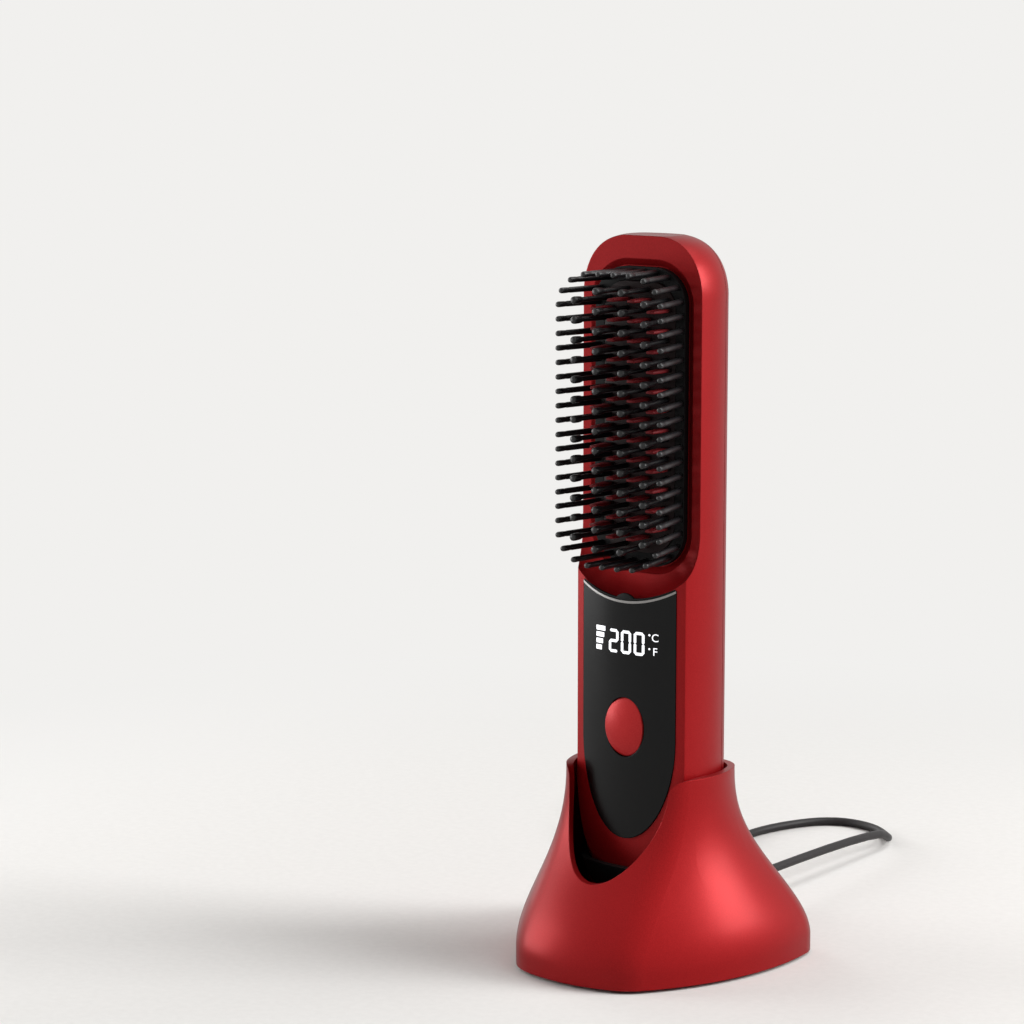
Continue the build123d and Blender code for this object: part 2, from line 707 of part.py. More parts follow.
# Comb frame: tray with a flange, and the outer ring of bristles
def bristle(length):
    """One faceted, slightly tapered pin along +Z with a rounded-off end."""
    with BuildPart() as pin:
        for height, radius in (
            (0.0, PIN_RADIUS),
            (length - PIN_TIP_LENGTH, PIN_RADIUS * PIN_TAPER),
            (length, PIN_TIP_RADIUS),
        ):
            with BuildSketch(Plane.XY.offset(height)):
                RegularPolygon(radius, PIN_SIDES)
        loft(ruled=True)
    return pin.part


def pin_place(x, z, y):
    """Location of a pin that points to the front and fans out to its side."""
    fan = math.radians(FAN_PER_MM * x)
    plane = Plane(
        origin=(x, DOCK_AXIS_Y + y, COMB_MIDDLE_Z + z),
        x_dir=(math.cos(fan), math.sin(fan), 0),
        z_dir=(math.sin(fan), -math.cos(fan), 0),
    )
    return plane.location


outer_pin = bristle(OUTER_PIN_LENGTH + PIN_ROOT)
with BuildSketch() as ring:
    RectangleRounded(
        COMB_WIDTH - 2 * OUTER_PIN_INSET,
        COMB_LENGTH - 2 * OUTER_PIN_INSET,
        COMB_CORNER - OUTER_PIN_INSET,
    )
ring_wire = ring.sketch.faces()[0].outer_wire()
ring_count = round(ring_wire.length / OUTER_PIN_PITCH)
ring_points = [ring_wire.position_at(step / ring_count) for step in range(ring_count)]
outer_pins = [outer_pin.moved(pin_place(p.X, p.Y, FLANGE_FRONT_Y + PIN_ROOT)) for p in ring_points]

tray_back = FLANGE_BACK_Y + TRAY_DEPTH
tray_floor = tray_back - TRAY_FLOOR
with BuildPart() as comb_frame:
    add(window_block(COMB_WIDTH, COMB_LENGTH, COMB_CORNER, FLANGE_FRONT_Y, FLANGE_BACK_Y - SEAT_GAP))
    add(
        window_block(
            COMB_WIDTH - 2 * (LEDGE + COMB_GAP),
            COMB_LENGTH - 2 * (LEDGE + COMB_GAP),
            COMB_CORNER - LEDGE - COMB_GAP,
            FLANGE_BACK_Y - SEAT_GAP,
            tray_back,
        )
    )
    add(
        window_block(
            PLATE_SLOT_WIDTH,
            PLATE_SLOT_LENGTH,
            PLATE_SLOT_CORNER,
            FLANGE_FRONT_Y - CUT_OVER,
            tray_floor,
        ),
        mode=Mode.SUBTRACT,
    )
    add(outer_pins)
comb_frame.part.label = "comb_frame"
export_step(comb_frame.part, "parts/comb_frame.step")
print("comb ring pins", ring_count)

# Inner bristles on their carrier, which also holds the two heaters
columns = [(index - (INNER_COLUMNS - 1) / 2) * INNER_PIN_SPACING for index in range(INNER_COLUMNS)]


def column_steps(half_step):
    """Heights of the places in a column, at the pin pitch, clear of the slot's ends."""
    reach = PLATE_SLOT_LENGTH / 2 - FIN_END_MARGIN
    start = INNER_PIN_PITCH / 2 if half_step else 0.0
    steps = [start + k * INNER_PIN_PITCH for k in range(int((reach - start) / INNER_PIN_PITCH) + 1)]
    return sorted({-step for step in steps} | set(steps))


carrier_front = tray_floor - SEAT_GAP - CARRIER_THICKNESS
pin_places = [(x, z) for n, x in enumerate(columns) for z in column_steps(n % 2 == 1)]
fin_places = [(x, z) for n, x in enumerate(columns) for z in column_steps(n % 2 == 0)]
inner_pin = bristle(-INNER_PIN_TIP_Y + carrier_front + PIN_ROOT)
inner_pins = [inner_pin.moved(pin_place(x, z, carrier_front + PIN_ROOT)) for x, z in pin_places]
heater_places = [(x * INNER_PIN_SPACING / 2, COMB_MIDDLE_Z) for x in (-1, 1)]

with BuildPart() as inner_bristles:
    add(
        window_block(
            PLATE_SLOT_WIDTH - 2 * PLATE_GAP,
            PLATE_SLOT_LENGTH - 2 * PLATE_GAP,
            PLATE_SLOT_CORNER - PLATE_GAP,
            carrier_front,
            tray_floor - SEAT_GAP,
        )
    )
    with BuildSketch(Plane.XZ.offset(-(DOCK_AXIS_Y + carrier_front))):
        with Locations(*heater_places):
            Rectangle(HEATER_WIDTH + 2 * PLATE_GAP, HEATER_LENGTH + 2 * PLATE_GAP)
    extrude(amount=-HEATER_THICKNESS - 2 * SEAT_GAP, mode=Mode.SUBTRACT)
    add(inner_pins)
inner_bristles.part.label = "inner_bristles"
export_step(inner_bristles.part, "parts/inner_bristles.step")
print("inner pins", len(pin_places), "fins", len(fin_places))

with BuildPart() as ptc_heaters:
    with BuildSketch(Plane.XZ.offset(-(DOCK_AXIS_Y + carrier_front))):
        with Locations(*heater_places):
            Rectangle(HEATER_WIDTH, HEATER_LENGTH)
    extrude(amount=-HEATER_THICKNESS)
ptc_heaters.part.label = "ptc_heaters"
export_step(ptc_heaters.part, "parts/ptc_heaters.step")

# Heating plate: convex coated plate with short fins between the pins
with BuildPart() as hole_form:
    with BuildSketch():
        RegularPolygon(PIN_RADIUS + PIN_HOLE_GAP, PIN_SIDES)
    extrude(amount=PLATE_CROWN)
pin_holes = [hole_form.part.moved(pin_place(x, z, carrier_front + PIN_ROOT)) for x, z in pin_places]
plate_back = carrier_front - SEAT_GAP
with BuildPart() as fins:
    with BuildSketch(Plane.XZ.offset(-(DOCK_AXIS_Y + plate_back))):
        with Locations(*[(x, COMB_MIDDLE_Z + z) for x, z in fin_places]):
            Rectangle(FIN_WIDTH, FIN_THICKNESS)
    extrude(amount=PLATE_CROWN + FIN_HEIGHT + plate_back)
    add(behind_curve(PLATE_CROWN + FIN_HEIGHT, PLATE_RADIUS), mode=Mode.INTERSECT)
with BuildPart() as heating_plate:
    add(
        window_block(
            PLATE_SLOT_WIDTH - 2 * PLATE_GAP,
            PLATE_SLOT_LENGTH - 2 * PLATE_GAP,
            PLATE_SLOT_CORNER - PLATE_GAP,
            -PLATE_CROWN - CUT_OVER,
            plate_back,
        )
    )
    add(behind_curve(PLATE_CROWN, PLATE_RADIUS), mode=Mode.INTERSECT)
    add(fins.part)
    add(pin_holes, mode=Mode.SUBTRACT)
heating_plate.part.label = "heating_plate"
export_step(heating_plate.part, "parts/heating_plate.step")

with BuildPart() as thermal_cutout:
    with Locations((0, DOCK_AXIS_Y + tray_back + SEAT_GAP + SENSOR_HEIGHT / 2, COMB_MIDDLE_Z)):
        Box(SENSOR_WIDTH, SENSOR_HEIGHT, SENSOR_LENGTH)
thermal_cutout.part.label = "thermal_cutout"
export_step(thermal_cutout.part, "parts/thermal_cutout.step")


# Dock shell: flared from the rim, which follows the brush, to a rounded triangle
def dock_outline(height):
    """Outline of the dock at a height."""
    up = max(1.0 - (height - DOCK_BAND) / (DOCK_HEIGHT - DOCK_BAND), 0.0) ** DOCK_FLARE
    share = 1.0 if height <= DOCK_BAND else up * up * (3.0 - 2.0 * up)
    return RIM_OUTLINE.mixed(BASE_OUTLINE, share)


def dock_form(growth, low, high):
    """Solid of the dock's flare, grown, with a level band at its foot."""
    with BuildPart() as flare:
        for step in range(DOCK_FLARE_STEPS + 1):
            height = DOCK_BAND + (DOCK_HEIGHT - DOCK_BAND) * step / DOCK_FLARE_STEPS
            add(outline_sketch(dock_outline(height).grown(growth), DOCK_AXIS_Y, height))
        loft()
    with BuildPart() as form:
        add(outline_sketch(BASE_OUTLINE.grown(growth), DOCK_AXIS_Y, low))
        extrude(amount=DOCK_BAND - low)
        add(flare.part)
        if high > DOCK_HEIGHT:
            add(outline_sketch(RIM_OUTLINE.grown(growth), DOCK_AXIS_Y, DOCK_HEIGHT))
            extrude(amount=high - DOCK_HEIGHT)
    return form.part


dock_outer = dock_form(0.0, DOCK_LIFT, DOCK_HEIGHT)
dock_inner = dock_form(-DOCK_WALL, DOCK_LIFT - CUT_OVER, DOCK_HEIGHT + CUT_OVER)
dock_screw_places = [
    (x, DOCK_AXIS_Y + y) for x in (-DOCK_SCREW_X, DOCK_SCREW_X) for y in (-DOCK_SCREW_Y, DOCK_SCREW_Y)
]
plate_top = BASE_PLATE_BOTTOM + BASE_PLATE_THICKNESS
port_wall_y = DOCK_AXIS_Y + dock_outline(PORT_HEIGHT).back - DOCK_WALL

with BuildPart() as notch:
    with BuildSketch(Plane.XZ.offset(-DOCK_AXIS_Y)) as notch_face:
        with BuildLine():
            EllipticalCenterArc(
                (0, DOCK_HEIGHT), NOTCH_HALF_WIDTH, NOTCH_DEPTH, start_angle=180, arc_size=180
            )
            Polyline(
                (NOTCH_HALF_WIDTH, DOCK_HEIGHT),
                (BASE_FRONT, DOCK_HEIGHT),
                (BASE_FRONT, DOCK_HEIGHT + NOTCH_DEPTH),
                (-BASE_FRONT, DOCK_HEIGHT + NOTCH_DEPTH),
                (-BASE_FRONT, DOCK_HEIGHT),
                (-NOTCH_HALF_WIDTH, DOCK_HEIGHT),
            )
        make_face()
        rim_level = notch_face.vertices().group_by(Axis.Y)[0]
        fillet(rim_level.sort_by(Axis.X)[1:-1], NOTCH_CORNER)
    extrude(amount=2 * BASE_FRONT)

with BuildPart() as bosses:
    with BuildSketch(Plane.XY.offset(plate_top + SEAT_GAP)):
        with Locations(*dock_screw_places):
            Circle(DOCK_BOSS_RADIUS)
    extrude(amount=DOCK_HEIGHT - plate_top - NOTCH_DEPTH / 2)
    with BuildSketch(Plane.XY.offset(plate_top + SEAT_GAP)):
        with Locations(*dock_screw_places):
            Circle(DOCK_SCREW_RADIUS + SCREW_GAP)
    extrude(amount=DOCK_SCREW_LENGTH, mode=Mode.SUBTRACT)
    add(dock_outer, mode=Mode.INTERSECT)

rim_drop = RIM_OUTLINE.back - RIM_OUTLINE.back_corner_y
rim_radius = (RIM_OUTLINE.back_corner_x**2 + rim_drop**2) / (2 * rim_drop)
nub_y = DOCK_AXIS_Y + RIM_OUTLINE.back - DOCK_WALL - NUB_X**2 / (2 * rim_radius)
with BuildPart() as nubs:
    with BuildSketch(Plane.XY.offset(DOCK_HEIGHT - NUB_DROP - NUB_LENGTH)):
        with Locations((-NUB_X, nub_y), (NUB_X, nub_y)):
            Circle(NUB_RADIUS)
    extrude(amount=NUB_LENGTH)

with BuildPart() as dock_shell:
    add(dock_outer)
    add(dock_inner, mode=Mode.SUBTRACT)
    add(bosses.part)
    add(nubs.part)
    add(notch.part, mode=Mode.SUBTRACT)
    with Locations((0, port_wall_y, PORT_HEIGHT)):
        Box(PORT_HOLE_WIDTH, DOCK_WALL * 4, PORT_HOLE_HEIGHT, mode=Mode.SUBTRACT)
dock_shell.part.label = "dock_shell"
export_step(dock_shell.part, "parts/dock_shell.step")
print("dock shell solids", len(dock_shell.part.solids()))

# Base plate, feet and ballast
foot_places = [
    (x, DOCK_AXIS_Y + y) for x in (-FOOT_SPREAD_X, FOOT_SPREAD_X) for y in (-FOOT_SPREAD_Y, FOOT_SPREAD_Y)
]
board_post_y = port_wall_y - DOCK_BOARD_LENGTH / 2
dock_board_top = PORT_HEIGHT - SOCKET_HEIGHT / 2 - SOCKET_WALL - SWITCH_GAP
cradle_low = SEAT_HEIGHT - SEAT_CLEARANCE - CRADLE_WALL
contact_board_low = cradle_low - CONTACT_BLOCK_HEIGHT - CONTACT_BOARD_THICKNESS
with BuildPart() as dock_base_plate:
    add(
        outline_sketch(
            BASE_OUTLINE.grown(-DOCK_WALL - BASE_PLATE_GAP), DOCK_AXIS_Y, BASE_PLATE_BOTTOM
        )
    )
    extrude(amount=BASE_PLATE_THICKNESS)
    with BuildSketch(Plane.XY.offset(plate_top)):
        with Locations(*[(x, board_post_y) for x in (-DOCK_POST_X, DOCK_POST_X)]):
            Circle(DOCK_POST_RADIUS)
    extrude(amount=dock_board_top - CONTACT_BOARD_THICKNESS - SEAT_GAP - plate_top)
    with BuildSketch(Plane.XY.offset(plate_top)):
        with Locations((0, DOCK_AXIS_Y)):
            Circle(CONTACT_BLOCK_DEPTH / 2)
    extrude(amount=contact_board_low - SEAT_GAP - plate_top)
    with BuildSketch(Plane.XY.offset(BASE_PLATE_BOTTOM)):
        with Locations(*foot_places):
            Circle(FOOT_RADIUS + BASE_PLATE_GAP)
    extrude(amount=FOOT_RECESS, mode=Mode.SUBTRACT)
    with BuildSketch(Plane.XY.offset(BASE_PLATE_BOTTOM)):
        with Locations(*dock_screw_places):
            Circle(DOCK_SCREW_HEAD_RADIUS + SCREW_GAP)
    extrude(amount=DOCK_SCREW_HEAD_HEIGHT, mode=Mode.SUBTRACT)
    with BuildSketch(Plane.XY.offset(BASE_PLATE_BOTTOM)):
        with Locations(*dock_screw_places):
            Circle(DOCK_SCREW_RADIUS + SCREW_GAP)
    extrude(amount=BASE_PLATE_THICKNESS, mode=Mode.SUBTRACT)
dock_base_plate.part.label = "dock_base_plate"
export_step(dock_base_plate.part, "parts/dock_base_plate.step")

with BuildPart() as rubber_feet:
    with BuildSketch():
        with Locations(*foot_places):
            Circle(FOOT_RADIUS)
    extrude(amount=BASE_PLATE_BOTTOM + FOOT_RECESS)
rubber_feet.part.label = "rubber_feet"
export_step(rubber_feet.part, "parts/rubber_feet.step")

with BuildPart() as dock_screws:
    with BuildSketch(Plane.XY.offset(BASE_PLATE_BOTTOM)):
        with Locations(*dock_screw_places):
            Circle(DOCK_SCREW_HEAD_RADIUS)
    extrude(amount=DOCK_SCREW_HEAD_HEIGHT)
    with BuildSketch(Plane.XY.offset(BASE_PLATE_BOTTOM)):
        with Locations(*dock_screw_places):
            Circle(DOCK_SCREW_RADIUS)
    extrude(amount=plate_top + DOCK_SCREW_LENGTH - BASE_PLATE_BOTTOM - SCREW_GAP)
dock_screws.part.label = "dock_screws"
export_step(dock_screws.part, "parts/dock_screws.step")

with BuildPart() as dock_ballast:
    with BuildSketch(Plane.XY.offset(plate_top)):
        with Locations((0, DOCK_AXIS_Y)):
            Circle(BALLAST_OUTER_RADIUS)
            Circle(BALLAST_HOLE_RADIUS, mode=Mode.SUBTRACT)
    extrude(amount=BALLAST_THICKNESS)
dock_ballast.part.label = "dock_ballast"
export_step(dock_ballast.part, "parts/dock_ballast.step")

# Cradle: cup that follows the handle's end, on its pedestal
cup_outer = brush_form(SEAT_CLEARANCE + CRADLE_WALL)
cup_inner = brush_form(SEAT_CLEARANCE)
with BuildPart() as dock_cradle:
    add(cup_outer)
    split(bisect_by=Plane.XY.offset(CRADLE_TOP), keep=Keep.BOTTOM)
    with BuildSketch(Plane.XY.offset(plate_top)):
        with Locations((0, DOCK_AXIS_Y)):
            Circle(PEDESTAL_RADIUS)
            Circle(PEDESTAL_RADIUS - CRADLE_WALL, mode=Mode.SUBTRACT)
    extrude(amount=SEAT_HEIGHT + CRADLE_WALL - plate_top)
    add(cup_inner, mode=Mode.SUBTRACT)
    add(
        slot_block(
            Plane((0, DOCK_AXIS_Y, plate_top)),
            PLUG_WIDTH + 2 * SOCKET_HOLE_GAP,
            PLUG_HEIGHT + 2 * SOCKET_HOLE_GAP,
            SEAT_HEIGHT,
        ),
        mode=Mode.SUBTRACT,
    )
dock_cradle.part.label = "dock_cradle"
export_step(dock_cradle.part, "parts/dock_cradle.step")
print("dock_cradle solids", len(dock_cradle.part.solids()))

contact_middle = cradle_low - CONTACT_BLOCK_HEIGHT / 2
contact_reach = SEAT_HEIGHT + PLUG_REACH - contact_middle
with BuildPart() as dock_contact_plug:
    with Locations((0, DOCK_AXIS_Y, contact_middle - SEAT_GAP / 2)):
        Box(CONTACT_BLOCK_WIDTH, CONTACT_BLOCK_DEPTH, CONTACT_BLOCK_HEIGHT - SEAT_GAP)
    add(slot_block(Plane((0, DOCK_AXIS_Y, contact_middle)), PLUG_WIDTH, PLUG_HEIGHT, contact_reach))
dock_contact_plug.part.label = "dock_contact_plug"
export_step(dock_contact_plug.part, "parts/dock_contact_plug.step")

with BuildPart() as contact_board:
    with Locations((0, DOCK_AXIS_Y, contact_board_low + CONTACT_BOARD_THICKNESS / 2 - SEAT_GAP)):
        Box(
            CONTACT_BLOCK_WIDTH + 2 * CONTACT_BOARD_MARGIN,
            CONTACT_BLOCK_DEPTH + 2 * CONTACT_BOARD_MARGIN,
            CONTACT_BOARD_THICKNESS,
        )
contact_board.part.label = "contact_board"
export_step(contact_board.part, "parts/contact_board.step")

inward = Plane(origin=(0, port_wall_y, PORT_HEIGHT), x_dir=(1, 0, 0), z_dir=(0, -1, 0))
dock_usb_socket = connector_socket(inward.offset(SEAT_GAP))
dock_usb_socket.label = "dock_usb_socket"
export_step(dock_usb_socket, "parts/dock_usb_socket.step")

with BuildPart() as dock_board:
    with Locations((0, board_post_y - SEAT_GAP, dock_board_top - CONTACT_BOARD_THICKNESS / 2)):
        Box(DOCK_BOARD_WIDTH, DOCK_BOARD_LENGTH, CONTACT_BOARD_THICKNESS)
dock_board.part.label = "dock_board"
export_step(dock_board.part, "parts/dock_board.step")

# Lead: metal tongue, grip with strain relief, cable, coil and charger plug
grip_start = port_wall_y + GRIP_GAP
back_plane = Plane(origin=(0, grip_start, PORT_HEIGHT), x_dir=(-1, 0, 0), z_dir=(0, 1, 0))
usb_c_tongue = slot_block(inward.offset(-GRIP_GAP), PLUG_WIDTH, PLUG_HEIGHT, PLUG_REACH)
usb_c_tongue.label = "usb_c_tongue"
export_step(usb_c_tongue, "parts/usb_c_tongue.step")

with BuildPart() as usb_c_plug:
    with BuildSketch(back_plane):
        RectangleRounded(GRIP_WIDTH, GRIP_HEIGHT, GRIP_ROUND)
    extrude(amount=GRIP_LENGTH)
    with BuildSketch(back_plane.offset(GRIP_LENGTH)):
        Circle(RELIEF_RADIUS)
    with BuildSketch(back_plane.offset(GRIP_LENGTH + RELIEF_LENGTH)):
        Circle(RELIEF_RADIUS * RELIEF_TAPER)
    loft()
usb_c_plug.part.label = "usb_c_plug"
export_step(usb_c_plug.part, "parts/usb_c_plug.step")

turn_pitch = CABLE_DIAMETER + COIL_TURN_GAP
half_turns = 2 * COIL_TURNS_A_LAYER
coil_outer = CABLE_DIAMETER * COIL_MIDDLE_DIAMETERS / 2 + half_turns / 2 * turn_pitch / 2
coil_end_radius = coil_outer + (USB_A_GRIP_WIDTH + CABLE_DIAMETER) / 2 + USB_A_CLEARANCE
lower_z = CABLE_DIAMETER / 2 + CABLE_FLOOR_GAP
upper_z = lower_z + turn_pitch
charger_z = USB_A_GRIP_HEIGHT / 2 + CABLE_FLOOR_GAP

cable_start = (0, grip_start + GRIP_LENGTH + RELIEF_LENGTH, PORT_HEIGHT)
coil_entry = (COIL_X + coil_outer, COIL_Y + CABLE_DIAMETER, lower_z)
cable_route = [
    cable_start,
    (0.0, 154.0, 10.6),
    (-3.5, 172.0, lower_z),
    (-20.0, 187.0, lower_z),
    (-40.0, 186.0, lower_z),
    (COIL_X + coil_outer, 160.0, lower_z),
    (coil_entry[0], coil_entry[1] + CABLE_JOIN, lower_z),
]


def corner_radii(points):
    """Largest arc at each corner that its two runs leave room for."""
    radii = []
    for before, corner, after in zip(points, points[1:], points[2:]):
        first = Vector(*corner) - Vector(*before)
        second = Vector(*after) - Vector(*corner)
        turn = math.radians(first.get_angle(second))
        run = min(first.length, second.length)
        radii.append(CABLE_ARC_SHARE * run / math.tan(turn / 2))
    return radii


cable_radii = corner_radii(cable_route)
with BuildPart() as cable_tube:
    with BuildLine() as cable_line:
        FilletPolyline(*cable_route, radius=cable_radii)
    with BuildSketch(Plane(origin=cable_start, z_dir=(0, 1, 0))):
        Circle(CABLE_DIAMETER / 2)
    sweep()
cable_tube.part.label = "cable_tube"
export_step(cable_tube.part, "parts/cable_tube.step")
cable_length = cable_line.wire().length
cable_section = math.pi * CABLE_DIAMETER**2 / 4
print("cable radii", [round(radius, 1) for radius in cable_radii])
cable_share = cable_tube.part.volume / cable_section / cable_length
print("cable length", round(cable_length, 1), "volume share", round(cable_share, 4))


def coil_nodes():
    """Place and heading of the cable at each half turn, in and then out again."""
    nodes = []
    for step in range(2 * half_turns + 2):
        inward = min(step, half_turns)
        outward = max(step - half_turns - 1, 0)
        radius = coil_outer + (outward - inward) * turn_pitch / 2
        side = 1 if step % 2 == 0 else -1
        z = lower_z if step <= half_turns else upper_z
        nodes.append((Vector(COIL_X + side * radius, COIL_Y, z), Vector(0, -side, 0)))
    nodes[-1] = (Vector(COIL_X - coil_end_radius, COIL_Y, charger_z), nodes[-1][1])
    return nodes


coil_places = coil_nodes()
with BuildPart() as cable_coil:
    with BuildLine() as coil_line:
        Line(Vector(*coil_entry), coil_places[0][0])
        for (start, heading), (end, end_heading) in zip(coil_places, coil_places[1:]):
            reach = (end - start).length / 2
            middle = (start + end + (heading - end_heading) * reach) * 0.5
            quarter = TangentArc(start, middle, tangent=heading)
            TangentArc(middle, end, tangent=quarter % 1)
        coil_end = coil_places[-1][0] + coil_places[-1][1] * CABLE_DIAMETER
        Line(coil_places[-1][0], coil_end)
    with BuildSketch(Plane(origin=coil_entry, z_dir=(0, -1, 0))):
        Circle(CABLE_DIAMETER / 2)
    sweep()
cable_coil.part.label = "cable_coil"
export_step(cable_coil.part, "parts/cable_coil.step")
coil_path = coil_line.wire()
coil_length = coil_path.length
coil_samples = [coil_path.position_at(n / COIL_SAMPLES) for n in range(COIL_SAMPLES + 1)]
skip = math.ceil(2 * math.pi * CABLE_DIAMETER / (coil_length / COIL_SAMPLES))
least_gap = min(
    (coil_samples[a] - coil_samples[b]).length
    for a in range(len(coil_samples))
    for b in range(a + skip, len(coil_samples))
) - CABLE_DIAMETER
coil_share = cable_coil.part.volume / cable_section / coil_length
print("coil length", round(coil_length, 1), "volume share", round(coil_share, 4))
print("least gap of the coil to itself", round(least_gap, 3))
print("cable in all", round(cable_length + coil_length, 1))

charger_plane = Plane(origin=coil_end, x_dir=(-1, 0, 0), z_dir=(0, 1, 0))
with BuildPart() as usb_a_plug:
    with BuildSketch(charger_plane):
        Circle(RELIEF_RADIUS * RELIEF_TAPER)
    with BuildSketch(charger_plane.offset(RELIEF_LENGTH)):
        Circle(RELIEF_RADIUS)
    loft()
    with BuildSketch(charger_plane.offset(RELIEF_LENGTH)):
        RectangleRounded(USB_A_GRIP_WIDTH, USB_A_GRIP_HEIGHT, GRIP_ROUND)
    extrude(amount=USB_A_GRIP_LENGTH)
usb_a_plug.part.label = "usb_a_plug"
export_step(usb_a_plug.part, "parts/usb_a_plug.step")

with BuildPart() as usb_a_shell:
    with BuildSketch(charger_plane.offset(RELIEF_LENGTH + USB_A_GRIP_LENGTH)):
        Rectangle(USB_A_WIDTH, USB_A_HEIGHT)
        Rectangle(USB_A_WIDTH - 2 * SOCKET_WALL, USB_A_HEIGHT - 2 * SOCKET_WALL, mode=Mode.SUBTRACT)
    extrude(amount=USB_A_LENGTH)
usb_a_shell.part.label = "usb_a_shell"
export_step(usb_a_shell.part, "parts/usb_a_shell.step")
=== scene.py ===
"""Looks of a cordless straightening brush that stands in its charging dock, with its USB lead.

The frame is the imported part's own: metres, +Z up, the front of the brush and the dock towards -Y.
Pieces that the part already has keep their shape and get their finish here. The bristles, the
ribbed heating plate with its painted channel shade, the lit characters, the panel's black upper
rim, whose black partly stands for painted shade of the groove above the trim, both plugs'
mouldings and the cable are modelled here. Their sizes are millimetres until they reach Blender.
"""
import json
import logging
import math
from dataclasses import dataclass, field
from enum import Enum
from typing import Callable, Sequence

import bpy
from mathutils import Matrix, Vector


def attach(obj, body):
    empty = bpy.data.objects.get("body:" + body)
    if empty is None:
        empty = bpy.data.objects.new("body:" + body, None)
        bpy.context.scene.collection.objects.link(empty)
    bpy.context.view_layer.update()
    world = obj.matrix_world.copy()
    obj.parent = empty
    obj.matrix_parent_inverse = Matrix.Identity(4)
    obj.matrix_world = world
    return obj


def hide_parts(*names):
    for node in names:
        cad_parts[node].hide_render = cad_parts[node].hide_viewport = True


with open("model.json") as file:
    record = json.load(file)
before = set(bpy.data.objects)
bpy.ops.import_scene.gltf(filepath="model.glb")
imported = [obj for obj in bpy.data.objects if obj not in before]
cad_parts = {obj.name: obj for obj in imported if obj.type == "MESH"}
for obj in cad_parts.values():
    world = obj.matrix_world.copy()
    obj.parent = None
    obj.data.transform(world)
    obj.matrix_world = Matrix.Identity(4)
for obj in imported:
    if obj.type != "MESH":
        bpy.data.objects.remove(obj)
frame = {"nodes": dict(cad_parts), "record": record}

log = logging.getLogger("straightening_brush")

MM = 0.001
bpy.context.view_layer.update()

# The brush's long axis stands this far behind the dock's middle.
AXIS_Y = 2.75
# Turns a flat primitive so that it faces the front.
UPRIGHT = (math.pi / 2, 0.0, 0.0)
# Edges sharper than this are rounded; a face whose normal has this share of an axis faces along it.
HARD_EDGE = math.radians(50)
SQUARE_ON = 0.9
# Where a finish turns from its colour to its accent, and how unevenly it shines.
SHADE_STOPS = (0.35, 0.75)
GLOSS_SPREAD = 0.14

Point = tuple[float, float, float]
Spot = tuple[float, float]
Piece = bpy.types.Object
Socket = bpy.types.NodeSocket
Tree = bpy.types.NodeTree


class Body(Enum):
    """The rigid bodies that the new pieces ride on."""

    DOCK = "dock"
    BRUSH = "brush"


class Segment(Enum):
    """The seven strokes of a lit digit, each with its middle and whether it stands upright.

    The middle is in half widths to the right and half heights up.
    """

    TOP = (0.0, 1.0, False)
    TOP_RIGHT = (1.0, 0.5, True)
    LOW_RIGHT = (1.0, -0.5, True)
    BOTTOM = (0.0, -1.0, False)
    LOW_LEFT = (-1.0, -0.5, True)
    TOP_LEFT = (-1.0, 0.5, True)
    MIDDLE = (0.0, 0.0, False)


ZERO = tuple(segment for segment in Segment if segment is not Segment.MIDDLE)
TWO = (Segment.TOP, Segment.TOP_RIGHT, Segment.MIDDLE, Segment.LOW_LEFT, Segment.BOTTOM)


def srgb(code: str) -> tuple[float, float, float, float]:
    """Turn an sRGB hex colour into linear RGBA.

    Args:
        code: The colour as six hex digits.

    Returns:
        Linear red, green and blue, and an alpha of 1.
    """
    channels = [int(code[i : i + 2], 16) / 255.0 for i in (0, 2, 4)]
    linear = (c / 12.92 if c <= 0.04045 else ((c + 0.055) / 1.055) ** 2.4 for c in channels)
    return (*linear, 1.0)


def add_node(
    tree: Tree,
    kind: str,
    settings: dict[str, object] | None = None,
    values: dict[str, object] | None = None,
    links: dict[str | int, Socket] | None = None,
) -> bpy.types.Node:
    """Add one shader node.

    Args:
        tree: The material's or the world's node tree.
        kind: The node's type, without its "ShaderNode" prefix.
        settings: Properties of the node.
        values: Constants for its input sockets, by name.
        links: Output sockets that feed its input sockets, by name or number.

    Returns:
        The new node.
    """
    node = tree.nodes.new("ShaderNode" + kind)
    for name, value in (settings or {}).items():
        setattr(node, name, value)
    for name, value in (values or {}).items():
        node.inputs[name].default_value = value
    for name, socket in (links or {}).items():
        tree.links.new(socket, node.inputs[name])
    return node


@dataclass(frozen=True)
class Canvas:
    """A material in the making: its tree, its principled shader, and where patterns are read."""

    tree: Tree
    shader: bpy.types.Node
    place: Socket

    def feed(self, name: str, source: Socket) -> None:
        """Link a source to the shader's input of that name."""
        self.tree.links.new(source, self.shader.inputs[name])

    def blend_in(self, share: Socket, colour: str) -> None:
        """Mix a second colour into the colour that is already painted.

        Args:
            share: How much of the second colour shows.
            colour: The second colour, as hex digits.
        """
        painted = self.shader.inputs["Base Color"].links[0].from_socket
        mix = add_node(
            self.tree, "MixRGB", values={"Color2": srgb(colour)},
            links={"Fac": share, "Color1": painted},
        )
        self.feed("Base Color", mix.outputs["Color"])


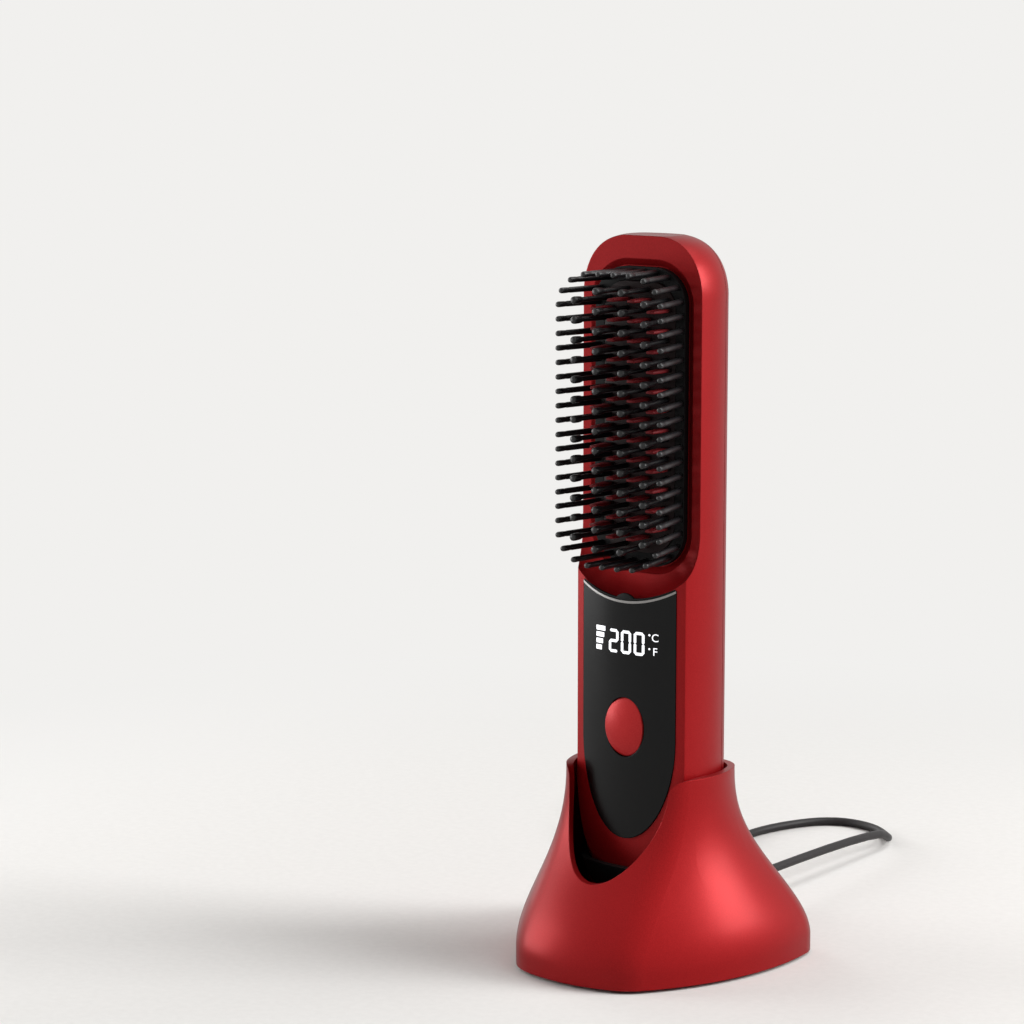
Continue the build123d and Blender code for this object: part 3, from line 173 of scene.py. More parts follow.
@dataclass(frozen=True)
class Finish:
    """A surface as it was made: its colours, its gloss and the grain that the eye sees.

    Grain and waves are sizes in millimetres, relief heights too.
    """

    name: str
    colour: str
    accent: str
    roughness: float
    metallic: float = 0.0
    ior: float = 1.5
    grain: float = 0.5
    relief: float = 0.004
    wave: float = 9.0
    edge: float = 0.25
    coat: float = 0.0
    coat_roughness: float = 0.1
    specular: float = 0.5
    glow: float = 0.0
    stretch: Point = (1.0, 1.0, 1.0)

    def material(self) -> bpy.types.Material:
        """Build the node material, or return it if it exists.

        Returns:
            The material, named for the finish.
        """
        made = bpy.data.materials.get(self.name)
        if made:
            return made
        made = bpy.data.materials.new(self.name)
        made.use_nodes = True
        tree = made.node_tree
        shader = tree.nodes["Principled BSDF"]
        constants: dict[str, object] = {
            "Metallic": self.metallic, "Specular IOR Level": self.specular,
            "Coat Weight": self.coat, "Coat Roughness": self.coat_roughness,
        }
        if self.metallic < 1.0:
            constants["IOR"] = self.ior
        if self.glow:
            constants["Emission Color"] = srgb(self.colour)
            constants["Emission Strength"] = self.glow
        for name, value in constants.items():
            shader.inputs[name].default_value = value
        raw = add_node(tree, "TexCoord").outputs["Object"]
        placed = add_node(tree, "Mapping", values={"Scale": self.stretch}, links={"Vector": raw})
        canvas = Canvas(tree, shader, placed.outputs["Vector"])
        self.paint(canvas)
        self.shape(canvas)
        return made

    def paint(self, canvas: Canvas) -> None:
        """Give the shader its colour, from two shades in a fine grain, and its uneven gloss.

        Args:
            canvas: The material.
        """
        grain = add_node(
            canvas.tree, "TexNoise",
            values={"Scale": 1.0 / (self.grain * MM), "Detail": 3.0, "Roughness": 0.6},
            links={"Vector": canvas.place},
        )
        shades = add_node(canvas.tree, "ValToRGB", links={"Fac": grain.outputs["Fac"]})
        stops = shades.color_ramp.elements
        for stop, position, code in zip(stops, SHADE_STOPS, (self.colour, self.accent)):
            stop.position = position
            stop.color = srgb(code)
        canvas.feed("Base Color", shades.outputs["Color"])
        wave = add_node(
            canvas.tree, "TexNoise", values={"Scale": 1.0 / (self.wave * MM), "Detail": 2.0},
            links={"Vector": canvas.place},
        )
        dull, bright = (self.roughness * (1.0 + way * GLOSS_SPREAD) for way in (1, -1))
        gloss = add_node(
            canvas.tree, "MapRange", values={"To Min": bright, "To Max": min(dull, 1.0)},
            links={"Value": wave.outputs["Fac"]},
        )
        canvas.feed("Roughness", gloss.outputs["Result"])

    def shape(self, canvas: Canvas) -> None:
        """Give the surface its softened edges and the fine relief of its making.

        Args:
            canvas: The material.
        """
        rounding = add_node(canvas.tree, "Bevel", {"samples": 4}, {"Radius": self.edge * MM})
        relief = add_node(
            canvas.tree, "TexNoise", values={"Scale": 1.0 / (2.0 * self.grain * MM), "Detail": 2.0},
            links={"Vector": canvas.place},
        )
        bump = add_node(
            canvas.tree, "Bump", values={"Strength": 0.4, "Distance": self.relief * MM},
            links={"Height": relief.outputs["Fac"], "Normal": rounding.outputs["Normal"]},
        )
        canvas.feed("Normal", bump.outputs["Normal"])


@dataclass(frozen=True)
class PearlPaint(Finish):
    """Red pearl paint, sprayed over moulded ABS and cured under a satin lacquer.

    The eye gets a deep red that turns darker where the surface leans away, and broad soft lights.
    """

    deep: str = "4A0509"
    turn: float = 0.3

    def paint(self, canvas: Canvas) -> None:
        """Add the pearl's turn to a deeper red at glancing angles to the plain paint.

        Args:
            canvas: The material.
        """
        Finish.paint(self, canvas)
        facing = add_node(canvas.tree, "LayerWeight", values={"Blend": self.turn})
        canvas.blend_in(facing.outputs["Facing"], self.deep)


@dataclass(frozen=True)
class CeramicCoat(Finish):
    """Dull red ceramic coat, baked on aluminium: speckled, with painted shade that turns it near
    black in the channels between its ribs.
    """

    # Painted shade: the near black that the channels turn to, where bristles and ribs shade the
    # plate.
    painted_channel_shade: str = "160405"
    shade_start_y: float = -9.4
    full_shade_y: float = -6.9

    def paint(self, canvas: Canvas) -> None:
        """Add painted shade to the channels: the coat darkens by depth behind the ribs' front
        edges.

        Args:
            canvas: The material.
        """
        Finish.paint(self, canvas)
        # Painted shade: the coat blends to the near black with depth into the channels.
        split = add_node(canvas.tree, "SeparateXYZ", links={"Vector": canvas.place})
        depth = add_node(
            canvas.tree, "MapRange",
            values={"From Min": self.shade_start_y * MM, "From Max": self.full_shade_y * MM},
            links={"Value": split.outputs["Y"]},
        )
        canvas.blend_in(depth.outputs["Result"], self.painted_channel_shade)


@dataclass(frozen=True)
class CableJacket(Finish):
    """Extruded TPE cable jacket, near black, with faint lines along its length."""

    lines: float = 0.35
    line_depth: float = 0.02

    def shape(self, canvas: Canvas) -> None:
        """Give the jacket the drawn lines that the die leaves, along the cable's own UV map.

        Args:
            canvas: The material.
        """
        along = add_node(canvas.tree, "TexCoord").outputs["UV"]
        wave = add_node(
            canvas.tree, "TexWave", {"bands_direction": "Y"},
            {"Scale": 6.0, "Distortion": 1.2, "Detail": 1.0}, {"Vector": along},
        )
        grit = add_node(
            canvas.tree, "TexNoise", values={"Scale": 1.0 / (self.lines * MM)},
            links={"Vector": canvas.place},
        )
        height = add_node(
            canvas.tree, "Math", {"operation": "MULTIPLY"},
            links={0: wave.outputs["Fac"], 1: grit.outputs["Fac"]},
        )
        bump = add_node(
            canvas.tree, "Bump", values={"Strength": 0.35, "Distance": self.line_depth * MM},
            links={"Height": height.outputs["Value"]},
        )
        canvas.feed("Normal", bump.outputs["Normal"])


# Pearl paint: flakes are far finer than a pixel, so the grain is drawn at 0.35 mm to show at all.
RED_PAINT = PearlPaint(
    "red_pearl_paint_on_ABS", "A51418", "B81D20", 0.38, metallic=0.25, grain=0.35, relief=0.003,
    wave=14.0, edge=0.45, coat=0.06, coat_roughness=0.24, specular=0.12,
)
# The button is moulded and painted apart: a brighter, plainer red.
RED_BUTTON = PearlPaint(
    "red_painted_button_cap", "D4282B", "DE3838", 0.36, metallic=0.15, grain=0.4, relief=0.002,
    wave=6.0, edge=0.5, coat=0.08, coat_roughness=0.25, specular=0.15, deep="7A0C10",
)
# Polished PMMA, printed black behind: one broad clear light, broken by faint waves of the mould.
BLACK_PANEL = Finish(
    "polished_black_pmma_panel", "040405", "070708", 0.24, ior=1.49, grain=0.8, relief=0.0006,
    wave=20.0, edge=0.3, specular=0.2,
)
# Chromed ABS strip: bright metal, dulled a little, so it reads as a grey line and not a mirror.
BRIGHT_TRIM = Finish(
    "bright_chromed_trim", "838180", "8F8D8B", 0.34, metallic=1.0, grain=0.3, relief=0.001,
    wave=3.0, edge=0.12,
)
# Heat-resistant nylon, moulded: satin, so that each tip keeps a small soft light.
BRISTLE_NYLON = Finish(
    "moulded_black_nylon_bristle", "0E0E10", "161618", 0.38, ior=1.53, grain=0.6, wave=5.0,
    edge=0.2, specular=0.4,
)
# The same nylon in a fine spark texture: dull and dark behind the bristles and along the panel,
# where its black rim stands partly for painted shade of the groove above the trim.
COMB_TRAY = Finish(
    "spark_textured_nylon_tray", "060607", "0B0B0C", 0.6, ior=1.53, relief=0.015, wave=6.0,
    edge=0.3, specular=0.15,
)
# Baked ceramic coat: a speckled brick red without any sharp light, darkened below the coat's own
# red as painted shade between the dense bristles, and sinking to black in depth as painted channel
# shade.
HEATED_PLATE = CeramicCoat(
    "ceramic_coat_with_painted_shade", "74161C", "861D23", 0.55, grain=0.25, relief=0.01, wave=4.0,
    specular=0.2,
)
# Plain moulded ABS: a soft black whose fine skin spreads the light.
BLACK_MOULDING = Finish(
    "moulded_black_abs", "0B0B0C", "121112", 0.55, grain=0.45, relief=0.012, wave=8.0, edge=0.3,
    specular=0.3,
)
# Overmoulded PVC with a fine spark texture from the mould.
PLUG_MOULDING = Finish(
    "overmoulded_black_pvc_plug", "161415", "201D1E", 0.45, ior=1.52, grain=0.4, relief=0.02,
    wave=7.0, edge=0.3, specular=0.35,
)
# Extruded TPE: a warm near black with a dull sheen along the cable.
CABLE_JACKET = CableJacket(
    "extruded_tpe_cable_jacket", "1B1819", "252223", 0.5, grain=0.9, wave=12.0, specular=0.3
)
# Moulded rubber: the dullest black, with a coarse matt skin.
FOOT_RUBBER = Finish("moulded_foot_rubber", "121212", "1B1B1B", 0.85, relief=0.02, edge=0.2)
# Drawn and nickel-plated steel: a pale mirror with faint lines along the plug.
PLATED_STEEL = Finish(
    "nickel_plated_steel", "B4B2AF", "BBB9B6", 0.26, metallic=1.0, grain=0.3, relief=0.0005,
    wave=2.0, edge=0.08, stretch=(1.0, 0.15, 1.0),
)
# Solder mask, cured over copper: a deep even green gloss, mottled by the tracks below.
SOLDER_MASK = Finish(
    "green_solder_mask_board", "0F4A2C", "16603A", 0.35, grain=0.7, relief=0.01, wave=3.0, edge=0.1
)
# PVC film, shrunk on the cell: smooth blue with a wide soft light.
CELL_SLEEVE = Finish("pvc_shrink_sleeve_on_cell", "1D4F86", "245C99", 0.35, grain=0.9, edge=0.3)
# Pressed and fired ceramic: chalky and pale.
PTC_CERAMIC = Finish(
    "ptc_ceramic_stone", "C2BCAE", "D0CABD", 0.75, grain=0.3, relief=0.01, edge=0.15
)
# Iron as it left the sand: dark, rough and grainy.
RAW_IRON = Finish(
    "raw_cast_iron_weight", "45433F", "57534E", 0.7, metallic=1.0, grain=0.9, relief=0.05, edge=0.4
)
# Smoked PMMA, injection moulded: near black and smooth as glass.
SMOKED_WINDOW = Finish(
    "smoked_display_window", "0A0A0C", "101013", 0.2, grain=0.9, relief=0.001, edge=0.1
)
# LED light through a diffuser: an even, slightly cool white.
LIT_CHARACTERS = Finish(
    "white_led_characters", "F6F8FC", "FFFFFF", 0.5, relief=0.0005, edge=0.02, glow=1.0
)
# Uncoated studio paper: a warm pale grey without gloss, its fibres drawn at 3 mm to show at all.
FLOOR_PAPER = Finish(
    "matt_paper_floor", "E2E0DD", "E6E4E1", 0.9, grain=3.0, relief=0.01, edge=0.01
)

SLOT_FINISHES: dict[str, Finish] = {
    "red_shell": RED_PAINT,
    "red_button": RED_BUTTON,
    "panel_black": BLACK_PANEL,
    "trim_silver": BRIGHT_TRIM,
    "display_dark": SMOKED_WINDOW,
    "bristle_black": BRISTLE_NYLON,
    "plate_red": HEATED_PLATE,
    "heater_ceramic": PTC_CERAMIC,
    "board_green": SOLDER_MASK,
    "connector_steel": PLATED_STEEL,
    "cell_wrap": CELL_SLEEVE,
    "inner_black": BLACK_MOULDING,
    "base_black": BLACK_MOULDING,
    "foot_rubber": FOOT_RUBBER,
    "ballast_iron": RAW_IRON,
    "cable_black": CABLE_JACKET,
    "plug_black": PLUG_MOULDING,
}


def deselect() -> None:
    """Leave edit mode and deselect every object."""
    if bpy.context.object and bpy.context.object.mode != "OBJECT":
        bpy.ops.object.mode_set(mode="OBJECT")
    bpy.ops.object.select_all(action="DESELECT")


def pick(piece: Piece) -> None:
    """Make a piece the only selected and the active one."""
    deselect()
    piece.select_set(True)
    bpy.context.view_layer.objects.active = piece


def settle(piece: Piece) -> None:
    """Put a piece's place, turn and scale into its mesh."""
    pick(piece)
    bpy.ops.object.transform_apply(location=True, rotation=True, scale=True)


def edit_all(piece: Piece) -> None:
    """Open a piece in edit mode with everything selected."""
    pick(piece)
    bpy.ops.object.mode_set(mode="EDIT")
    bpy.ops.mesh.select_all(action="SELECT")


def edit_faces(piece: Piece, wanted: Callable[[Vector, Vector], bool]) -> None:
    """Open a piece in edit mode with only some of its faces selected.

    Args:
        piece: The mesh object.
        wanted: Says from a face's centre and normal whether it is selected.
    """
    pick(piece)
    bpy.ops.object.mode_set(mode="EDIT")
    bpy.ops.mesh.select_mode(type="FACE")
    bpy.ops.mesh.select_all(action="DESELECT")
    bpy.ops.object.mode_set(mode="OBJECT")
    for polygon in piece.data.polygons:
        polygon.select = wanted(polygon.center, polygon.normal)
    bpy.ops.object.mode_set(mode="EDIT")


def extrude(x: float, y: float, z: float) -> None:
    """Extrude what is selected in edit mode by a way in metres."""
    bpy.ops.mesh.extrude_region_move(TRANSFORM_OT_translate={"value": (x, y, z)})


def close_shape() -> None:
    """Turn all faces in edit mode outwards, and leave edit mode."""
    bpy.ops.mesh.select_all(action="SELECT")
    bpy.ops.mesh.normals_make_consistent(inside=False)
    deselect()


def thicken(piece: Piece, depth: float) -> None:
    """Give a flat front its depth along +Y, in millimetres, as a closed shape."""
    edit_all(piece)
    extrude(0.0, depth * MM, 0.0)
    close_shape()


def fall(radius: float, x: float) -> float:
    """Tell how far an arc falls back from its crown at x, in metres. Its radius is millimetres."""
    arc = radius * MM
    return arc - math.sqrt(arc**2 - x**2)


def rectangle(place: Point, width: float, height: float, corner: float, steps: int) -> Piece:
    """Add a flat rectangle that faces the front.

    Args:
        place: Its middle, in millimetres.
        width: Its width.
        height: Its height.
        corner: How much of each corner is taken off.
        steps: In how many steps: 1 cuts the corner straight.

    Returns:
        The flat piece, with its place in its mesh.
    """
    deselect()
    bpy.ops.mesh.primitive_plane_add(size=MM, location=[value * MM for value in place])
    piece = bpy.context.object
    piece.rotation_euler = UPRIGHT
    piece.scale = (width, height, 1.0)
    settle(piece)
    edit_all(piece)
    bpy.ops.mesh.bevel(offset=corner * MM, affect="VERTICES", segments=steps)
    deselect()
    return piece


def disc(x: float, z: float, radius: float, sides: int) -> Piece:
    """Add a flat disc that faces the front, at y = 0.

    Args:
        x: Its middle, to the right, in millimetres.
        z: Its middle, above the table.
        radius: Its radius.
        sides: Its number of sides.

    Returns:
        The flat piece, with its place in its mesh.
    """
    deselect()
    bpy.ops.mesh.primitive_circle_add(
        vertices=sides, radius=radius * MM, fill_type="NGON", location=(x * MM, 0.0, z * MM),
        rotation=UPRIGHT,
    )
    piece = bpy.context.object
    settle(piece)
    return piece


def drawn_up(sides: int, profile: Sequence[Spot]) -> Piece:
    """Model a turned form: a disc at the first height, extruded and scaled from ring to ring.

    Args:
        sides: Its number of sides.
        profile: Radius and height of each ring, in millimetres, from the bottom up.

    Returns:
        The closed mesh, standing on its lowest ring along +Z.
    """
    deselect()
    before, level = profile[0]
    bpy.ops.mesh.primitive_circle_add(
        vertices=sides, radius=before * MM, fill_type="NGON", location=(0.0, 0.0, level * MM)
    )
    piece = bpy.context.object
    settle(piece)
    edit_all(piece)
    for radius, height in profile[1:]:
        extrude(0.0, 0.0, (height - level) * MM)
        bpy.ops.transform.resize(value=(radius / before, radius / before, 1.0))
        before, level = radius, height
    close_shape()
    return piece


def rounded(piece: Piece, width: float, segments: int) -> None:
    """Round a piece's sharp edges.

    Args:
        piece: The mesh object.
        width: The rounding's width in millimetres.
        segments: Its number of steps.
    """
    rounding = piece.modifiers.new("rounding", "BEVEL")
    rounding.width = width * MM
    rounding.segments = segments
    rounding.limit_method = "ANGLE"
    rounding.angle_limit = HARD_EDGE
    pick(piece)
    bpy.ops.object.modifier_apply(modifier="rounding")


def smooth(piece: Piece, degrees: float) -> None:
    """Shade a piece smooth, with sharp edges above an angle in degrees."""
    pick(piece)
    bpy.ops.object.shade_smooth_by_angle(angle=math.radians(degrees))


def copied(pattern: Piece, places: Sequence[Matrix]) -> list[Piece]:
    """Copy a pattern to its places, each copy with its own mesh, and delete the pattern.

    Args:
        pattern: The piece to copy, at the origin.
        places: Where each copy goes.

    Returns:
        The copies, with their places in their meshes.
    """
    parts = []
    for place in places:
        copy = pattern.copy()
        copy.data = pattern.data.copy()
        bpy.context.collection.objects.link(copy)
        copy.matrix_world = place
        settle(copy)
        parts.append(copy)
    pick(pattern)
    bpy.ops.object.delete()
    return parts


def joined(name: str, parts: Sequence[Piece]) -> Piece:
    """Join pieces into one mesh.

    Args:
        name: The joined piece's name.
        parts: The pieces, of which the first takes in the others.

    Returns:
        The joined piece.
    """
    deselect()
    for part in parts:
        part.select_set(True)
    bpy.context.view_layer.objects.active = parts[0]
    bpy.ops.object.join()
    whole = bpy.context.object
    whole.name = name
    whole.data.name = name
    return whole


def dress(piece: Piece, finish: Finish, body: Body) -> None:
    """Give a new piece its finish and let it ride on its body.

    Args:
        piece: The finished piece, in place.
        finish: Its surface.
        body: The body that it moves with.
    """
    piece.data.materials.clear()
    piece.data.materials.append(finish.material())
    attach(piece, body.value)
    log.info("%s: %s, rides on %s", piece.name, finish.name, body.value)


@dataclass
class Housings:
    """The pieces that keep the part's own shape and only take their finish here."""

    by_node: dict[str, Finish] = field(default_factory=lambda: {"comb_frame": COMB_TRAY})

    def dress(self) -> None:
        """Assign each node's finish by the record's material slot."""
        slots = {entry["node"]: entry["material_slot"] for entry in frame["record"]["subparts"]}
        for name, piece in frame["nodes"].items():
            finish = self.by_node.get(name, SLOT_FINISHES[slots[name]])
            piece.data.materials.clear()
            piece.data.materials.append(finish.material())
            log.info("%s: %s", name, finish.name)


@dataclass
class Comb:
    """Rounded bristles, each with the step below its tip, and the ribbed heating plate behind them.

    The bristles' rings are shares of a radius with a distance: up from the root, down from the
    step, up from the step, and down from the end of the tip.
    """

    middle_z: float = 182.0
    sides: int = 14
    outer_radii: Spot = (0.98, 0.94)
    inner_radii: Spot = (0.86, 1.2)
    tip_length: float = 4.0
    root_rings: tuple[Spot, ...] = ((1.08, 0.0), (1.0, 2.5))
    step_rings: tuple[Spot, ...] = ((0.97, 0.55), (0.9, 0.18))
    tip_rings: tuple[Spot, ...] = ((0.92, 0.0), (1.0, 0.9))
    end_rings: tuple[Spot, ...] = ((1.04, 1.5), (1.0, 0.7), (0.84, 0.28), (0.46, 0.04))
    fan_degrees_per_mm: float = 0.75
    fan_passes: int = 8
    outer_start: float = -7.4
    inner_start: float = -8.0
    front: float = -27.0
    pin_tips_front: float = -23.4
    same_pin: float = 1.4
    column_x: Spot = (4.0, 11.0)
    row_pitch: float = 6.45
    rows: tuple[int, int] = (14, 13)
    plate_width: float = 27.7
    plate_length: float = 88.7
    plate_corner: float = 8.85
    plate_crown: float = 9.4
    plate_back: float = -5.2
    plate_radius: float = 70.0
    bend_step: float = 2.0
    bend_cuts: int = 6
    rib_size: Point = (3.6, 11.0, 1.3)
    rib_taper: Spot = (0.82, 0.7)
    rib_rounding: float = 0.28
    rib_root: float = 1.0

    def bristle(self, radius: float, tip: float, length: float) -> Piece:
        """Model one bristle along +Z: a sleeve, the step at its end and a rounded tip.

        Args:
            radius: Of its sleeve, in millimetres.
            tip: The radius of its tip.
            length: From its root to its tip, in millimetres.

        Returns:
            The bristle's mesh.
        """
        step = length - self.tip_length
        profile = [(radius * share, rise) for share, rise in self.root_rings]
        profile += [(radius * share, step - drop) for share, drop in self.step_rings]
        profile += [(tip * share, step + rise) for share, rise in self.tip_rings]
        profile += [(tip * share, length - drop) for share, drop in self.end_rings]
        pin = drawn_up(self.sides, profile)
        smooth(pin, 50.0)
        return pin

    def places(self, fewer: int) -> list[Spot]:
        """List x and z in the four columns: two full ones inside two that are half a step off.

        Args:
            fewer: 0 for the bristles, 1 for the ribs midway between them.

        Returns:
            The x and z of each, in millimetres, evenly about the comb's middle.
        """
        return [
            (side * x, self.middle_z + (row - (rows - 1) / 2) * self.row_pitch)
            for x, rows in zip(self.column_x, (count - fewer for count in self.rows))
            for side in (-1, 1)
            for row in range(rows)
        ]

    def outer_roots(self) -> list[Spot]:
        """Find the ring's bristles from where the part's own pins end.

        Returns:
            The x and z of each root, in millimetres.
        """
        limit = (AXIS_Y + self.pin_tips_front) * MM
        groups: list[list[Vector]] = []
        for vertex in frame["nodes"]["comb_frame"].data.vertices:
            if vertex.co.y < limit:
                near = [g for g in groups if (g[0] - vertex.co).length < self.same_pin * MM]
                if near:
                    near[0].append(vertex.co.copy())
                else:
                    groups.append([vertex.co.copy()])
        roots = []
        for group in groups:
            tip = sum(group, Vector()) / len(group)
            reach = AXIS_Y + self.outer_start - tip.y / MM
            root_x = tip.x / MM
            # The fan's angle hangs on the root's own x, so a few passes bring the two together.
            for _ in range(self.fan_passes):
                lean = math.radians(self.fan_degrees_per_mm * root_x)
                root_x = tip.x / MM - reach * math.tan(lean)
            roots.append((root_x, tip.z / MM))
        return roots

    def bristles(self, name: str, radii: Spot, roots: Sequence[Spot], start: float) -> Piece:
        """Model a bristle and copy it to every root, fanned out to its side, as one piece.

        Args:
            name: The piece's name.
            radii: Of a bristle's sleeve and its tip, in millimetres.
            roots: The x and z of each root.
            start: Where the bristles start, in front of the axis.

        Returns:
            All bristles as one piece.
        """
        stands = []
        for x, z in roots:
            fan = math.radians(self.fan_degrees_per_mm * x)
            way = Vector((math.sin(fan), -math.cos(fan), 0.0)).to_track_quat("Z", "X")
            root = Vector((x, AXIS_Y + start, z)) * MM
            stands.append(Matrix.Translation(root) @ way.to_matrix().to_4x4())
        return joined(name, copied(self.bristle(*radii, start - self.front), stands))

    def plate(self) -> Piece:
        """Model the heating plate: a rounded panel, bent across its width, with short ribs.

        Returns:
            The plate with its ribs.
        """
        crown = AXIS_Y - self.plate_crown
        depth = self.plate_crown + self.plate_back
        place = (0.0, crown, self.middle_z)
        panel = rectangle(place, self.plate_width, self.plate_length, self.plate_corner, 8)
        edit_all(panel)
        for cut in range(-self.bend_cuts, self.bend_cuts + 1):
            bpy.ops.mesh.select_all(action="SELECT")
            where = (cut * self.bend_step * MM, 0.0, 0.0)
            bpy.ops.mesh.bisect(plane_co=where, plane_no=(1.0, 0.0, 0.0))
        thicken(panel, depth)
        for vertex in panel.data.vertices:
            if vertex.co.y < (crown + depth / 2) * MM:
                vertex.co.y += fall(self.plate_radius, vertex.co.x)
        smooth(panel, 30.0)
        return joined("ribbed_heating_plate", [panel, *self.ribs()])

    def ribs(self) -> list[Piece]:
        """Model one rib and copy it to its places on the plate.

        Returns:
            The ribs, in place.
        """
        width, height, thickness = (value * MM for value in self.rib_size)
        deselect()
        bpy.ops.mesh.primitive_cube_add(
            size=1.0, location=(0.0, -height / 2, 0.0), scale=(width, height, thickness)
        )
        pattern = bpy.context.object
        settle(pattern)
        edit_faces(pattern, lambda centre, normal: normal.y < -SQUARE_ON)
        bpy.ops.transform.resize(value=(self.rib_taper[0], 1.0, self.rib_taper[1]))
        deselect()
        rounded(pattern, self.rib_rounding, 2)
        smooth(pattern, 40.0)
        root = AXIS_Y + self.rib_root - self.plate_crown
        stands = [
            Matrix.Translation((x * MM, root * MM + fall(self.plate_radius, x * MM), z * MM))
            for x, z in self.places(1)
        ]
        return copied(pattern, stands)

    def build(self) -> None:
        """Make the ring, the inner bristles and the plate, and dress them."""
        roots, start = self.outer_roots(), self.outer_start
        ring = self.bristles("outer_bristle_sleeves", self.outer_radii, roots, start)
        roots, start = self.places(0), self.inner_start
        inner = self.bristles("inner_bristle_columns", self.inner_radii, roots, start)
        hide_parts("inner_bristles")
        plate = self.plate()
        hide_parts("heating_plate")
        for piece in (ring, inner):
            dress(piece, BRISTLE_NYLON, Body.BRUSH)
        dress(plate, HEATED_PLATE, Body.BRUSH)


@dataclass
class Display:
    """The lit characters on the panel: level bars, three digits and the two degree signs."""

    middle_z: float = 108.5
    panel_crown: float = 16.0
    panel_radius: float = 60.5
    thickness: float = 0.06
    lift: float = 0.02
    digit_width: float = 4.0
    digit_height: float = 7.8
    digit_pitch: float = 5.0
    first_digit_x: float = -4.3
    stroke: float = 0.95
    stroke_gap: float = 0.3
    stroke_share: float = 0.55
    stroke_chamfer: float = 0.36
    bar_left: float = -11.9
    bar_widths: tuple[float, ...] = (4.0, 3.5, 3.0, 2.5)
    bar_height: float = 1.6
    bar_pitch: float = 2.15
    bar_rise: float = 0.3
    bar_chamfer: float = 0.12
    unit_x: float = 11.45
    unit_dot_x: float = 9.45
    unit_dot_rise: float = 0.95
    unit_dot_radius: float = 0.35
    unit_size: float = 3.7
    unit_offset: float = 2.3

    def digit(self, x: float, strokes: Sequence[Segment]) -> list[Piece]:
        """Model a digit from its strokes.

        Args:
            x: Its middle, in millimetres.
            strokes: Which of the seven are lit.

        Returns:
            One flat piece for each stroke.
        """
        reach_x = (self.digit_width - self.stroke) / 2
        reach_z = (self.digit_height - self.stroke) / 2
        chamfer = self.stroke * self.stroke_chamfer
        made = []
        for stroke in strokes:
            right, up, upright = stroke.value
            long = (reach_z if upright else 2 * reach_x) - 2 * self.stroke_gap
            long += self.stroke * self.stroke_share
            size = (self.stroke, long) if upright else (long, self.stroke)
            place = (x + right * reach_x, 0.0, self.middle_z + up * reach_z)
            made.append(rectangle(place, *size, chamfer, 1))
        return made

    def level(self) -> list[Piece]:
        """Model the level sign: four bars, each narrower than the one above it."""
        top = (len(self.bar_widths) - 1) / 2 * self.bar_pitch + self.bar_rise
        bars = []
        for row, width in enumerate(self.bar_widths):
            place = (self.bar_left + width / 2, 0.0, self.middle_z + (top - row * self.bar_pitch))
            bars.append(rectangle(place, width, self.bar_height, self.bar_chamfer, 1))
        return bars

    def unit(self, letter: str, z: float) -> list[Piece]:
        """Model a degree sign and its letter.

        Args:
            letter: The letter after the sign.
            z: The letter's middle, above the display's middle, in millimetres.

        Returns:
            The letter and the dot, as flat pieces.
        """
        deselect()
        bpy.ops.object.text_add(location=(self.unit_x * MM, 0.0, (self.middle_z + z) * MM))
        text = bpy.context.object
        text.data.body = letter
        text.data.size = self.unit_size * MM
        text.data.align_x = text.data.align_y = "CENTER"
        text.rotation_euler = UPRIGHT
        bpy.ops.object.convert(target="MESH")
        settle(text)
        dot_z = self.middle_z + z + self.unit_dot_rise
        return [text, disc(self.unit_dot_x, dot_z, self.unit_dot_radius, 20)]

    def build(self) -> None:
        """Lay all characters on the panel's curve as thin plates and light them."""
        parts = self.level()
        for place, strokes in enumerate((TWO, ZERO, ZERO)):
            parts += self.digit(self.first_digit_x + place * self.digit_pitch, strokes)
        parts += self.unit("C", self.unit_offset) + self.unit("F", -self.unit_offset)
        lit = joined("lit_characters", parts)
        thicken(lit, -self.thickness)
        crown = (AXIS_Y - self.panel_crown - self.lift) * MM
        for vertex in lit.data.vertices:
            vertex.co.y += crown + fall(self.panel_radius, vertex.co.x)
        dress(lit, LIT_CHARACTERS, Body.BRUSH)


@dataclass
class PanelRim:
    """The panel's black upper rim: a narrow lip above the bright trim, with a flat round tab.

    Its black is partly the panel's own edge and partly painted shade of the groove and notch above
    the trim.
    """

    edge_z: float = 122.34
    edge_radius: float = 37.98
    half_width: float = 18.1
    height: float = 0.72
    crown: float = 15.9
    curve: float = 60.5
    depth: float = 0.9
    columns: int = 48
    rounding: float = 0.12
    tab_radius: float = 4.5
    tab_sides: int = 64
    tab_top: float = 124.7
    tab_cut: float = 122.5

    def lip(self) -> Piece:
        """Model the lip's flat front: a grid that is bent up along the panel's concave edge."""
        deselect()
        bpy.ops.mesh.primitive_grid_add(
            x_subdivisions=self.columns, y_subdivisions=2, size=MM,
            location=(0.0, 0.0, (self.edge_z + self.height / 2) * MM),
        )
        lip = bpy.context.object
        lip.rotation_euler = UPRIGHT
        lip.scale = (2 * self.half_width, self.height, 1.0)
        settle(lip)
        for vertex in lip.data.vertices:
            vertex.co.z += fall(self.edge_radius, vertex.co.x)
        return lip

    def tab(self) -> Piece:
        """Model the tab's flat front: a disc, cut off where the lip carries it."""
        tab = disc(0.0, self.tab_top - self.tab_radius, self.tab_radius, self.tab_sides)
        edit_all(tab)
        where = (0.0, 0.0, self.tab_cut * MM)
        bpy.ops.mesh.bisect(plane_co=where, plane_no=(0.0, 0.0, -1.0), clear_outer=True)
        deselect()
        return tab

    def build(self) -> None:
        """Join lip and tab, give them their depth, and lay them on the panel's curve."""
        rim = joined("panel_rim_and_groove_shade", [self.lip(), self.tab()])
        thicken(rim, self.depth)
        for vertex in rim.data.vertices:
            vertex.co.y += (AXIS_Y - self.crown) * MM + fall(self.curve, vertex.co.x)
        rounded(rim, self.rounding, 2)
        smooth(rim, 35.0)
        # Painted shade: the darkest black stands in part for the shade of the groove above the
        # trim.
        dress(rim, COMB_TRAY, Body.BRUSH)


